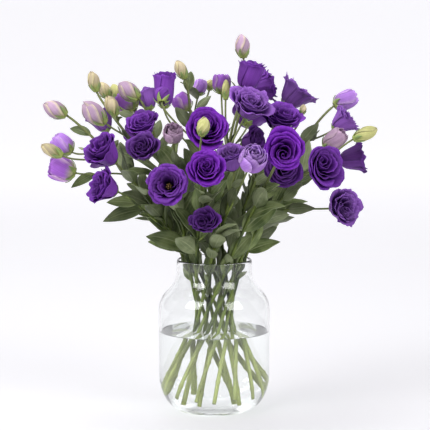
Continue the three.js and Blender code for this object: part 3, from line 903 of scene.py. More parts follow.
class Arrangement:
    """All the stems, and the leaves that find room on them."""

    def __init__(self, stems: list[Stem]) -> None:
        """Places every leaf: those that show, the joints', the fillers, and those in the neck.

        Args:
            stems: The stems, in order.
        """
        self.stems = stems
        self.thicket = Thicket()
        for owner, stem in enumerate(stems):
            line = [stem.foot, stem.waist, *stem.main.walk(STEM_WALK)]
            self.thicket.add_line(line, NECK_RADIUS, owner)
            for stalk in stem.stalks:
                self.thicket.add_line(stalk.walk(STALK_WALK), STALK_RADIUS, owner)
            for head in stem.heads:
                heart = [head.seat + head.direction * (head.length * share) for share in HEART]
                self.thicket.add_line(heart, head.radius * HEART_WIDTH, NOBODY)
        self.leaves: list[list[Leaf]] = [[] for _ in stems]
        for sites, clearance in (
            (self._own_sites, LEAF_CLEARANCE),
            (self._joint_sites, LEAF_CLEARANCE),
            (self._filler_sites, FILLER_CLEARANCE),
            (self._sunk_sites, FILLER_CLEARANCE),
        ):
            for owner, stem in enumerate(stems):
                self._grow(sites(stem), owner, clearance)

    @staticmethod
    def _ways(along: Array, turn: float, rises: Sequence[float]) -> list[Array]:
        """The ways that a leaf may grow from a stem."""
        east, north = sideways(along)
        ways = []
        for rise in rises:
            for spread in LEAF_SPREADS:
                angle, lift = math.radians(turn + spread), math.radians(rise)
                flat = math.cos(lift) * math.cos(angle), math.cos(lift) * math.sin(angle)
                ways.append(along * math.sin(lift) + east * flat[0] + north * flat[1])
        return [way for way in ways if way[2] > LEAST_UPRIGHT]

    @staticmethod
    def _own_sites(stem: Stem) -> list[Site]:
        """Where the leaves that are a stem's own grow."""
        lines = [stem.main, *stem.stalks]
        return [
            Site(lines[line].at(share), lines[line].way(share), [heading(way)], size, roll)
            for share, way, roll, size, line in stem.own_leaves
        ]

    def _joint_sites(self, stem: Stem) -> list[Site]:
        """Where the leaves at the joints of one stem may grow."""
        random = draws(stem.seed * 977 + 5)
        sites = []
        for joint, (station, leaves) in enumerate(LEAF_JOINTS):
            sunk = station < NECK_LEAF_BELOW
            root, along = stem.station(station)
            turn = next(random) * 90 + joint * 90
            for i in range(leaves):
                ways = self._ways(along, turn + 180 * i, NECK_LEAF_RISES if sunk else LEAF_RISES)
                size = between(LEAF_LENGTH, next(random)) * (NECK_LEAF_SHARE if sunk else 1)
                sites.append(Site(root, along, ways, size, either_way(LEAF_ROLL, next(random))))
        return sites

    def _filler_sites(self, stem: Stem) -> list[Site]:
        """Where small leaves may fill in: up the stem, and on the side stalks."""
        random = draws(stem.seed * 431 + 3)
        sites = []
        last = int(min(stem.main.lengths()[-1] - FILLER_SHORT_OF_HEAD, FILLER_HIGHEST))
        for i, station in enumerate(range(FILLER_LOWEST, last, FILLER_STEP)):
            root, along = stem.station(station)
            share = NECK_FILLER_SHARE if station < NECK_LEAF_BELOW else 1
            size = between(FILLER_LENGTH, next(random)) * share
            ways = self._ways(along, i * GOLDEN_ANGLE + 40 * next(random), FILLER_RISES)
            sites.append(Site(root, along, ways, size, either_way(FILLER_ROLL, next(random))))
        for stalk in stem.stalks:
            for share in FORK_SHARES:
                along = stalk.way(share)
                ways = self._ways(along, next(random) * 360, FORK_RISES)
                size = between(FORK_LENGTH, next(random))
                roll = either_way(FORK_ROLL, next(random))
                sites.append(Site(stalk.at(share), along, ways, size, roll))
        return sites

    def _sunk_sites(self, stem: Stem) -> list[Site]:
        """Where small leaves may cling to the stem inside the vase's neck."""
        random = draws(stem.seed * 167 + 11)
        sites = []
        for i, station in enumerate(SUNK_STATIONS):
            root, along = stem.station(station)
            ways = self._ways(along, i * GOLDEN_ANGLE + 90 * next(random), SUNK_RISES)
            size = between(SUNK_LENGTH, next(random))
            sites.append(Site(root, along, ways, size, either_way(LEAF_ROLL, next(random))))
        return sites

    def _grow(self, sites: Sequence[Site], owner: int, clearance: float) -> None:
        """Grows a leaf at each site, set the first way in which it lies clear."""
        for site in sites:
            tries = (site.leaf(way, site.size * k) for k in LEAF_SCALES for way in site.ways)
            clear = (t for t in tries if self.thicket.clear_of(t.lines(), owner, clearance))
            leaf = next(clear, None)
            if leaf is None:
                continue
            self.leaves[owner].append(leaf)
            for line in leaf.lines():
                self.thicket.add_line(list(line), LEAF_THICKNESS / 2, NOBODY)


VIOLET, BRIGHT, DARK, SOFT, MAUVE, ROSE, PURPLE, LILAC, CREAM, LIME = Hue
DOUBLE, OPEN, BELL, BARREL, GLOBE, ROSETTE, BUD = Form

HEADS: tuple[tuple[Head, ...], ...] = (
    (
        Head(DOUBLE, (-11, -125, 337), (-85, 25), 23, 30, 1, BRIGHT),
        Head(DOUBLE, (-11, -95, 267), (-100, 40), 19, 27, 0.16, DARK, 1.6),
        Head(BUD, (-14, -95, 393), (-60, 70), 8.3, 25, 0.45, LIME),
    ),
    (
        Head(DOUBLE, (21, -84, 348), (-118, 60), 22, 32, 1, SOFT),
        Head(ROSETTE, (49, -122, 352), (-72, 38), 17, 36, 0.4, MAUVE),
    ),
    (
        Head(DOUBLE, (89, -110, 363), (-85, 15), 26, 32, 1, BRIGHT, 0.6),
        Head(DOUBLE, (90, -52, 333), (-95, 8), 24, 28, 0.3, DARK, 0.8),
    ),
    (
        Head(DOUBLE, (141, -60, 336), (-55, 12), 28, 34, 1, VIOLET, 0.8),
        Head(DOUBLE, (168, -40, 282), (-50, 10), 25, 32, 0.4, SOFT, 1.6),
    ),
    (
        Head(GLOBE, (162, 0, 369), (-20, 40), 12.5, 34, 1, ROSE),
        Head(BELL, (188, 40, 340), (0, 10), 20, 36, 0.5, DARK, 1.5),
        Head(BUD, (202, -16, 378), (-14, 25), 8.8, 33, 0.5, LIME),
    ),
    (
        Head(GLOBE, (182, 70, 419), (10, 25), 13, 33, 1, MAUVE),
        Head(DOUBLE, (174, 30, 391), (0, 40), 20, 30, 0.6, SOFT, 1.6),
        Head(DOUBLE, (148, 60, 330), (45, 30), 22, 30, 0.4, VIOLET),
    ),
    (
        Head(BELL, (110, 70, 425), (0, 50), 24, 36, 1, SOFT, 2.0),
        Head(DOUBLE, (97, 90, 349), (60, 30), 24, 30, 0.45, VIOLET),
        Head(BUD, (121, 30, 409), (-10, 80), 4.5, 12, 0.45, CREAM),
    ),
    (
        Head(DOUBLE, (66, 90, 436), (10, 15), 23, 34, 1, VIOLET, 1.6),
        Head(DOUBLE, (49, 110, 392), (80, 35), 23, 30, 0.5, VIOLET),
    ),
    (
        Head(BUD, (-46, 60, 462), (180, 65), 8, 26, 1, CREAM),
        Head(DOUBLE, (-11, 120, 375), (95, 30), 24, 30, 0.4, DARK),
        Head(GLOBE, (-20, 110, 436), (30, 75), 9, 22, 0.6, MAUVE),
        Head(BUD, (-6, 125, 439), (20, 80), 6, 14, 0.66, LIME),
        Head(GLOBE, (-45, 90, 415), (170, 50), 13, 26, 0.7, PURPLE),
    ),
    (
        Head(BUD, (-117, 35, 433), (170, 35), 12, 33, 1, LILAC),
        Head(DOUBLE, (-103, 110, 372), (130, 30), 23, 30, 0.4, VIOLET),
        Head(DOUBLE, (-93, 85, 417), (120, 50), 18, 27, 0.55, SOFT),
        Head(GLOBE, (-122, 72, 415), (160, 35), 15, 30, 0.62, PURPLE),
        Head(BUD, (-138, 98, 430), (150, 60), 8, 22, 0.5, LIME),
        Head(BUD, (-151, 50, 434), (170, 55), 8.2, 24, 0.7, CREAM),
    ),
    (
        Head(BUD, (-218, 40, 408), (185, 28), 11.5, 33, 1, LILAC),
        Head(DOUBLE, (-155, 60, 390), (150, 60), 20, 32, 0.55, SOFT),
        Head(GLOBE, (-207, 25, 360), (170, 35), 14, 30, 0.6, MAUVE),
        Head(GLOBE, (-205, -10, 330), (180, 15), 16, 36, 0.45, PURPLE),
        Head(BUD, (-216, -35, 357), (180, 26), 8, 30, 0.52, CREAM),
        Head(DOUBLE, (-150, 80, 340), (150, 25), 22, 30, 0.35, DARK),
    ),
    (
        Head(DOUBLE, (-142, -70, 356), (-140, 40), 24, 40, 1, VIOLET),
        Head(DOUBLE, (-140, -85, 312), (-150, 20), 22, 32, 0.22, VIOLET, 1.5),
    ),
    (
        Head(ROSETTE, (-54, -60, 381), (-90, 50), 12.5, 26, 1, ROSE),
        Head(OPEN, (-58, -125, 318), (-100, 20), 27, 34, 0.4, VIOLET),
        Head(DOUBLE, (-93, -40, 358), (-100, 40), 22, 30, 0.55, DARK),
    ),
    (
        Head(BUD, (-163, 20, 447), (180, 75), 8, 27, 1, CREAM),
        Head(BUD, (-161, -20, 406), (200, 40), 13, 40, 0.6, LILAC),
        Head(BUD, (-138, 0, 415), (200, 65), 8.7, 28, 0.7, CREAM),
        Head(DOUBLE, (-96, 0, 386), (-120, 55), 23, 30, 0.5, VIOLET),
    ),
    (
        Head(DOUBLE, (-10, -50, 383), (-85, 25), 28, 34, 1, BRIGHT, 0.7),
        Head(DOUBLE, (47, -10, 414), (-60, 50), 28, 34, 0.5, SOFT),
    ),
    (
        Head(DOUBLE, (89, 20, 395), (-75, 58), 28, 30, 1, VIOLET),
        Head(DOUBLE, (50, 10, 365), (-30, 10), 20, 28, 0.5, DARK),
    ),
    (
        Head(BARREL, (48, 40, 454), (0, 75), 18, 42, 1, VIOLET, 0.8),
        Head(BUD, (39, 72, 494), (170, 85), 10, 31, 0.75, LILAC),
        Head(BARREL, (-68, 30, 435), (90, 80), 15, 50, 0.35, VIOLET, 1.2),
        Head(BUD, (-70, 0, 429), (90, 50), 11, 24, 0.4, VIOLET),
        Head(GLOBE, (10, 75, 442), (90, 80), 12.5, 26, 0.5, PURPLE),
        Head(BUD, (16, 45, 435), (80, 80), 5, 26, 0.55, LIME),
    ),
)
OWN_LEAVES: dict[int, tuple[OwnLeaf, ...]] = {
    0: ((0.25, (39, 82), 45, 62, 0), (0.04, (-122, 36), 75, 62, 0)),
    1: ((0.82, (-153, 54), 0, 45, 1), (0.07, (36, 81), -15, 44, 1), (0.01, (31, 80), 0, 39, 0)),
    2: ((0.22, (5, 48), 45, 73, 0), (0.46, (45, 30), 30, 52, 0)),
    3: ((0.25, (0, 13), 15, 41, 1), (0.04, (12, 67), -15, 59, 0)),
    4: ((0.01, (2, 27), 75, 50, 0),),
    5: ((0.61, (7, 56), 0, 44, 0), (0.01, (5, 44), -45, 61, 0)),
    8: (
        (0.01, (166, 69), 30, 45, 1),
        (0.85, (78, 61), 15, 39, 0),
        (0.88, (-131, 45), -15, 51, 2),
        (0.07, (172, 58), 45, 45, 2),
        (0.37, (6, 51), -30, 31, 3),
    ),
    9: ((0.04, (167, 68), 60, 64, 0),),
    10: (
        (0.64, (-177, -20), -15, 34, 3),
        (0.73, (151, 25), -15, 37, 0),
        (0.01, (178, 24), -60, 52, 0),
    ),
    11: (
        (0.52, (-178, -6), -30, 53, 1),
        (0.64, (180, 13), -15, 40, 1),
        (0.19, (174, 51), 0, 67, 0),
        (0.04, (171, 59), 0, 52, 0),
    ),
    12: ((0.01, (177, 33), -15, 63, 0), (0.67, (117, 36), -45, 67, 0)),
    13: ((0.4, (179, 17), -30, 54, 0),),
    15: ((0.19, (171, 60), 45, 59, 0),),
}
INNER_FROM = 13


def stems() -> list[Stem]:
    """All the stems, in the order of the part's nodes."""
    made = []
    for i, heads in enumerate(HEADS):
        ring, place = (INNER, i - INNER_FROM) if i >= INNER_FROM else (OUTER, i)
        made.append(Stem(ring, place, i + 1, list(heads), OWN_LEAVES.get(i, ())))
    return made


# Making pieces


def deselect() -> None:
    """Returns to object mode and selects nothing."""
    if bpy.context.object and bpy.context.object.mode != "OBJECT":
        bpy.ops.object.mode_set(mode="OBJECT")
    bpy.ops.object.select_all(action="DESELECT")


def choose(piece: Piece) -> None:
    """Makes one piece active and alone selected."""
    deselect()
    piece.select_set(True)
    bpy.context.view_layer.objects.active = piece


def apply(piece: Piece, kind: str, **settings: object) -> None:
    """Adds a modifier to a piece and applies it."""
    choose(piece)
    modifier = piece.modifiers.new(kind.lower(), kind)
    for key, value in settings.items():
        setattr(modifier, key, value)
    bpy.ops.object.modifier_apply(modifier=modifier.name)


def seat(piece: Piece, node: str) -> Piece:
    """Rides a finished piece on the part and says which node it stands for."""
    choose(piece)
    bpy.ops.object.shade_smooth()
    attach(piece, BODY)
    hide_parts(node)
    LOG.info("%s: %d faces", piece.name, len(piece.data.polygons))
    return piece


@dataclass(frozen=True)
class Blade:
    """One petal, sepal or leaf: its points in millimetres, its finish and its tone, which on petals
    also holds painted shade.
    """

    points: Array
    finish: int
    tone: float


class Sheet:
    """A flat grid that is copied and bent into petals, sepals and leaves."""

    def __init__(self, across: int, along: int) -> None:
        """Adds the grid as a primitive and keeps its points and faces.

        Args:
            across: Faces across the sheet.
            along: Faces from its base to its tip.
        """
        deselect()
        bpy.ops.mesh.primitive_grid_add(x_subdivisions=across, y_subdivisions=along, size=2)
        grid = bpy.context.object
        flat = np.array([v.co[:2] for v in grid.data.vertices])
        self.u = flat[:, 0]
        self.v = (flat[:, 1] + 1) / 2
        self.faces = np.array([p.vertices[:] for p in grid.data.polygons])
        bpy.data.objects.remove(grid)

    def gather(
        self,
        name: str,
        blades: Sequence[Blade],
        finishes: Sequence[bpy.types.Material],
        thickness: float,
    ) -> Piece:
        """Copies the grid once for each blade, bends the copies and thickens them.

        Args:
            name: The piece's name.
            blades: The blades.
            finishes: Materials in pairs: a petal's back and then its face, or a leaf's underside
                and then its upper side. A blade's finish is the number of its first one.
            thickness: The blades' thickness in millimetres.

        Returns:
            The piece, one mesh at the origin.
        """
        mesh = bpy.data.meshes.new(name)
        count = len(self.u)
        points = np.concatenate([b.points for b in blades]) * MM
        faces = np.concatenate([self.faces + count * i for i in range(len(blades))])
        mesh.from_pydata(points.tolist(), [], faces.tolist())
        for material in finishes:
            mesh.materials.append(material)
        which = np.repeat([b.finish for b in blades], len(self.faces))
        mesh.polygons.foreach_set("material_index", which.astype(np.int32))
        tone = mesh.attributes.new("tone", "FLOAT", "POINT")
        tone.data.foreach_set("value", np.repeat([b.tone for b in blades], count).astype(np.float32))
        layer = mesh.uv_layers.new(name="sheet")
        at_corners = np.empty(len(mesh.loops), np.int32)
        mesh.loops.foreach_get("vertex_index", at_corners)
        flat = np.stack([(self.u + 1) / 2, self.v], 1)[at_corners % count]
        layer.data.foreach_set("uv", flat.astype(np.float32).ravel())
        piece = bpy.data.objects.new(name, mesh)
        bpy.context.scene.collection.objects.link(piece)
        sides = {"material_offset": 1, "material_offset_rim": 0}
        apply(piece, "SOLIDIFY", thickness=thickness * MM, offset=0.0, **sides)
        return piece


# Shares along a petal, from its base to its rim, at which a whorl's reach and rise are given.
KNOTS = np.array([0.0, 0.3, 0.6, 0.85, 1.0])


def through(values: Sequence[float], at: Array) -> Array:
    """A smooth curve through values at the knots, read at the given shares."""
    steps = np.array(values, float)
    slope = np.gradient(steps, KNOTS)
    i = np.clip(np.searchsorted(KNOTS, at, side="right") - 1, 0, len(KNOTS) - 2)
    span = KNOTS[i + 1] - KNOTS[i]
    t = (at - KNOTS[i]) / span
    low = steps[i] * (1 + 2 * t) * (1 - t) ** 2 + slope[i] * span * t * (1 - t) ** 2
    return low + steps[i + 1] * t * t * (3 - 2 * t) + slope[i + 1] * span * t * t * (t - 1)


@dataclass(frozen=True)
class Layer:
    """A ring of petals: how many, their size and height as shares, half their width in degrees."""

    count: int
    size: float
    top: float
    spread: float


@dataclass(frozen=True)
class Wave:
    """A wave over a petal: its share of the ruffle, how late it grows, its pace and its phase."""

    share: float
    power: float
    pace: float
    phase: int

    def over(self, sheet: Sheet, grown: Array, swing: float, phases: Sequence[float]) -> Array:
        """How far the wave moves each point of a petal, for a ruffle of 1."""
        return grown**self.power * np.sin(sheet.u * swing * self.pace + phases[self.phase])


OUT_WAVES = (Wave(1.0, 2.5, 2.0, 0), Wave(0.55, 2.5, 6.0, 1), Wave(0.3, 5.0, 9.0, 0))
UP_WAVES = (Wave(0.9, 2.5, 3.6, 1), Wave(0.4, 5.0, 8.0, 0))


@dataclass(frozen=True)
class Whorl:
    """How the petals of a form are laid, as shares of the head's radius and length.

    The reach and rise are a petal's distance from the axis and its height at the knots. The skew
    winds it round, the lap lifts one margin over the next petal's and the tuck draws both in, the
    curl is of the outermost and the innermost rims, the fall rounds the rim off, and the drift
    pushes the heart to one side. The shade is painted shade: it darkens the inner layers, deep in
    the bloom where shade falls. The pinch narrows the inner layers, and the stray, oval and uneven
    shares bound what the random draws change.
    """

    layers: tuple[Layer, ...]
    reach: tuple[float, ...]
    rise: tuple[float, ...]
    skew: float = 0.0
    lap: float = 0.1
    lap_limit: float = 1.5
    tuck: float = 0.03
    ruffle: float = 0.035
    curl: tuple[float, float] = (0.05, 0.0)
    curl_from: float = 0.7
    curl_stray: float = 0.06
    curl_drop: float = 0.6
    fall: float = 0.2
    roundness: float = 2.4
    base_width: float = 0.65
    heart_pinch: float = 0.45
    height_stray: float = 0.08
    layer_stray: float = 0.9
    place_stray: float = 0.34
    drift: float = 0.22
    oval: float = 0.16
    uneven: float = 0.1
    # Painted shade on the inner layers.
    shade: float = 0.5

    def petals(self, head: Head, sheet: Sheet, seed: int) -> list[Blade]:
        """The petals of one head, from the outside in.

        Args:
            head: The head.
            sheet: The grid that each petal is bent from.
            seed: The seed of its random draws.

        Returns:
            The petals, in the part's frame.
        """
        random = draws(seed * 613)
        blades = []
        towards = 2 * math.pi * next(random)
        drift = head.radius * self.drift * (0.6 + 0.8 * next(random))
        away = drift * np.array([math.cos(towards), math.sin(towards), 0.0])
        oval = 1 + self.oval * (next(random) - 0.5)
        turn = 0.0
        for layer in self.layers:
            turn += math.pi / layer.count + self.layer_stray * next(random)
            for i in range(layer.count):
                place = i + self.place_stray * (next(random) - 0.5)
                angle = turn + 2 * math.pi * place / layer.count
                points = self._petal(sheet, head, layer, angle, random)
                squeezed = points * (oval, 1 / oval, 1.0)
                points = points + (squeezed - points) * (1 - layer.size)
                points = points + away * (1 - layer.size) * sheet.v[:, None]
                # The tone is random per petal, less painted shade that deepens on the inner layers.
                tone = next(random) - self.shade * (1 - layer.size)
                blades.append(Blade(points @ head.turned.T + head.seat, 0, tone))
        return blades

    def _petal(
        self, sheet: Sheet, head: Head, layer: Layer, turn: float, random: Iterator[float]
    ) -> Array:
        """One petal's points, with its base at the seat and the head facing +Z."""
        u = sheet.u
        grown = sheet.v * (1 - self.fall * np.abs(u) ** self.roundness)
        inner = 1 - layer.size
        width = self.base_width + (1 - self.base_width) * grown
        angle = turn + math.radians(layer.spread) * u * width + self.skew * grown
        size = layer.size * (1 + self.uneven * (next(random) - 0.5) * grown)
        radius = size * through(self.reach, grown) * (1 - self.heart_pinch * inner**3 * grown**2)
        lap = self.lap * (self.lap_limit - layer.size)
        radius = radius * (1 + lap * u - self.tuck * u * u)
        stray = self.height_stray * (next(random) - 0.5)
        height = through(self.rise, grown) * layer.top * (1 + stray)
        frill = self.ruffle * head.ruffle * (0.5 + next(random)) * (0.5 + 0.5 * layer.size)
        phases = [2 * math.pi * next(random), 2 * math.pi * next(random)]
        swing = between((1.4, 2.8), next(random))
        for wave in OUT_WAVES:
            radius = radius + frill * wave.share * wave.over(sheet, grown, swing, phases)
        for wave in UP_WAVES:
            height = height + frill * wave.share * wave.over(sheet, grown, swing, phases)
        curl = np.clip((grown - self.curl_from) / (1 - self.curl_from), 0, 1) ** 2
        roll = between(self.curl, inner) + self.curl_stray * (next(random) - 0.5)
        radius = radius + roll * curl
        height = height - abs(roll) * self.curl_drop * curl
        radius, height = head.radius * radius, head.length * height
        return np.stack([radius * np.cos(angle), radius * np.sin(angle), height], 1)


WHORLS = {
    Form.DOUBLE: Whorl(
        (
            Layer(4, 1.0, 0.88, 68), Layer(3, 0.85, 0.95, 82), Layer(3, 0.7, 1.0, 82),
            Layer(3, 0.55, 1.0, 84), Layer(2, 0.4, 1.0, 110), Layer(2, 0.26, 0.97, 110),
            Layer(2, 0.12, 0.92, 120),
        ),
        (0.12, 0.46, 0.7, 0.9, 1.02), (0.02, 0.22, 0.6, 0.88, 0.98), skew=0.2, lap=0.19,
        drift=0.38, uneven=0.16, ruffle=0.05, shade=0.85,
    ),
    Form.OPEN: Whorl(
        (
            Layer(5, 1.0, 0.86, 58), Layer(5, 0.86, 0.94, 56), Layer(4, 0.7, 0.96, 60),
            Layer(4, 0.56, 0.9, 60), Layer(3, 0.42, 0.8, 72),
        ),
        (0.12, 0.4, 0.62, 0.84, 1.0), (0.02, 0.2, 0.56, 0.88, 0.98), curl=(0.03, 0.0),
        drift=0.12, shade=2.2,
    ),
    Form.BELL: Whorl(
        (Layer(5, 1.0, 0.98, 64), Layer(4, 0.86, 1.0, 68), Layer(3, 0.6, 0.94, 74)),
        (0.2, 0.58, 0.78, 0.94, 1.12), (0.02, 0.24, 0.56, 0.84, 0.98), curl=(0.07, 0.02),
        fall=0.14, lap=0.05, ruffle=0.045, drift=0.1,
    ),
    Form.BARREL: Whorl(
        (
            Layer(4, 1.0, 0.95, 66), Layer(4, 0.84, 1.0, 62), Layer(4, 0.64, 1.0, 60),
            Layer(3, 0.42, 0.98, 75),
        ),
        (0.24, 0.72, 0.9, 0.94, 1.0), (0.02, 0.2, 0.54, 0.87, 1.0), curl=(0.12, 0.0), fall=0.16,
        skew=0.3, ruffle=0.022,
    ),
    Form.GLOBE: Whorl(
        (
            Layer(4, 1.0, 0.96, 70), Layer(4, 0.88, 1.0, 66), Layer(4, 0.7, 1.0, 66),
            Layer(3, 0.46, 0.98, 74),
        ),
        (0.3, 0.86, 1.0, 0.9, 0.66), (0.0, 0.2, 0.56, 0.88, 1.0), skew=0.6, lap=0.09,
        ruffle=0.03, curl=(0.05, 0.03), fall=0.34, drift=0.05,
    ),
    Form.ROSETTE: Whorl(
        (
            Layer(5, 1.0, 0.84, 58), Layer(4, 0.88, 0.92, 66), Layer(4, 0.74, 0.97, 66),
            Layer(3, 0.6, 1.0, 78), Layer(3, 0.46, 1.0, 80), Layer(3, 0.32, 0.98, 84),
            Layer(2, 0.18, 0.96, 100),
        ),
        (0.26, 0.78, 1.0, 1.0, 0.9), (0.0, 0.2, 0.5, 0.82, 0.98), skew=1.0, lap=0.2,
        ruffle=0.03, curl=(0.02, 0.0), fall=0.34, drift=0.16, shade=0.9,
    ),
    Form.BUD: Whorl(
        (Layer(5, 1.0, 1.0, 62), Layer(3, 0.86, 0.99, 64)),
        (0.36, 0.84, 0.97, 0.62, 0.17), (0.0, 0.26, 0.58, 0.86, 1.0), skew=1.4, lap=0.15,
        tuck=0.02, ruffle=0.006, curl=(0.0, 0.0), fall=0.12, drift=0.0, uneven=0.02,
    ),
}
SEPAL_REACH = {Form.BUD: 0.46, Form.GLOBE: 0.38, Form.ROSETTE: 0.36}
OPEN_SEPAL_REACH = 0.2


@dataclass
class Flowers:
    """Makes the blooms, the buds and the sepals under them.

    A stamen's radii are those of its rings in millimetres, from its foot to its tip. The sepals
    reach up a head by a share of its length.
    """

    petal_sheet: Sheet
    bud_sheet: Sheet
    sepal_sheet: Sheet
    petal_thickness: float = 0.5
    sepal_thickness: float = 0.7
    sepal_count: int = 5
    sepal_gap: float = 0.45
    sepal_keel: float = 0.35
    sepal_drop: float = 1.2
    sepal_tip_width: float = 0.2
    sepal_least_radius: float = 2.2
    stamen_count: int = 6
    stamen_circle: float = 2.6
    stamen_height: float = 3.2
    stamen_radii: tuple[float, ...] = (0.35, 1.0, 1.25, 1.1, 0.5)
    finishes: dict[Hue, list[bpy.types.Material]] = field(default_factory=dict)
    sepal_finish: bpy.types.Material = field(init=False)
    stamen_finish: bpy.types.Material = field(init=False)

    def __post_init__(self) -> None:
        """Paints every hue's two sides."""
        for hue in Hue:
            self.finishes[hue] = [hue.value.paint(True), hue.value.paint(False)]
        self.sepal_finish = SepalFinish().paint()
        amber = PlainFinish("stamen_amber", (0.15, 0.08, 0.02), mottle=0.6)
        self.stamen_finish = amber.paint()

    def bloom(self, head: Head, number: int) -> Piece:
        """Makes one open or half-open bloom."""
        blades = WHORLS[head.form].petals(head, self.petal_sheet, 31 * number + 7)
        name = f"petals_{number:02d}"
        piece = self.petal_sheet.gather(name, blades, self.finishes[head.hue], self.petal_thickness)
        return seat(piece, f"bloom_{number:02d}")

    def stamens(self, head: Head, number: int) -> Piece:
        """Makes the anthers round the two-lobed stigma in the heart of an open bloom."""
        random = draws(number * 613)
        sites = [(0.0, 0.75, -0.5), (0.0, -0.75, -0.5)]
        circle = self.stamen_circle
        for i in range(self.stamen_count):
            angle = math.pi / 3 * i + 0.4 * next(random)
            sites.append((circle * math.cos(angle), circle * math.sin(angle), -1.6 - next(random)))
        deselect()
        made = [self._grain(head, site) for site in sites]
        for grain in made:
            grain.select_set(True)
        bpy.ops.object.join()
        piece = bpy.context.object
        piece.name = f"stamens_{number:02d}"
        piece.data.materials.append(self.stamen_finish)
        return seat(piece, f"bloom_{number:02d}")

    def _grain(self, head: Head, site: tuple[float, float, float]) -> Piece:
        """Makes one anther or lobe at a place, in millimetres from the middle of a head."""
        bpy.ops.mesh.primitive_cylinder_add(vertices=8, radius=MM, depth=MM, end_fill_type="NGON")
        grain = bpy.context.object
        bpy.ops.object.mode_set(mode="EDIT")
        bpy.ops.mesh.select_all(action="SELECT")
        bpy.ops.mesh.subdivide(number_cuts=len(self.stamen_radii) - 2)
        bpy.ops.object.mode_set(mode="OBJECT")
        rings = np.linspace(0, 1, len(self.stamen_radii))
        x, y, z = site
        for vertex in grain.data.vertices:
            share = float(vertex.co.z) / MM + 0.5
            wide = float(np.interp(share, rings, self.stamen_radii))
            lean = 1 + 0.2 * share
            local = np.array(
                [
                    x * lean + vertex.co.x / MM * wide,
                    y * lean + vertex.co.y / MM * wide,
                    head.length * 0.5 + z + self.stamen_height * share,
                ]
            )
            vertex.co = (local @ head.turned.T + head.seat) * MM
        return grain

    def buds(self, heads: Sequence[Head], number: int) -> Piece | None:
        """Makes the closed buds of one stem, or None if it has none."""
        blades: list[Blade] = []
        paints: list[bpy.types.Material] = []
        for i, bud in enumerate(h for h in heads if h.form is Form.BUD):
            petals = WHORLS[Form.BUD].petals(bud, self.bud_sheet, 97 * number + i)
            blades += [Blade(p.points, 2 * i, p.tone) for p in petals]
            paints += self.finishes[bud.hue]
        if not blades:
            return None
        piece = self.bud_sheet.gather(f"buds_{number:02d}", blades, paints, self.petal_thickness)
        return seat(piece, f"leafy_stem_{number:02d}")

    def sepals(self, heads: Sequence[Head], number: int) -> Piece:
        """Makes the sepals under every head of one stem."""
        blades = []
        sheet = self.sepal_sheet
        for i, head in enumerate(heads):
            random = draws(53 * number + i)
            whorl = WHORLS[head.form]
            reach = SEPAL_REACH.get(head.form, OPEN_SEPAL_REACH)
            for k in range(self.sepal_count):
                angle = 2 * math.pi * k / self.sepal_count + 0.4 * next(random)
                grown = sheet.v
                flare = 1.03 + 0.04 * next(random) * grown**2
                radius = head.radius * through(whorl.reach, grown * reach) * flare
                radius = np.maximum(radius, self.sepal_least_radius) + self.sepal_gap
                width = (2.0 + head.radius * 0.1) * (1 - grown**1.8) + self.sepal_tip_width
                half = np.arcsin(np.clip(width / radius, 0, 0.95))
                height = head.length * through(whorl.rise, grown * reach) - self.sepal_drop
                turn = angle + half * sheet.u + 0.3 * whorl.skew * grown
                out = radius + self.sepal_keel * (1 - np.abs(sheet.u))
                flat = np.stack([out * np.cos(turn), out * np.sin(turn), height], 1)
                blades.append(Blade(flat @ head.turned.T + head.seat, 0, next(random)))
        finishes = [self.sepal_finish, self.sepal_finish]
        piece = sheet.gather(f"sepals_{number:02d}", blades, finishes, self.sepal_thickness)
        return seat(piece, f"leafy_stem_{number:02d}")


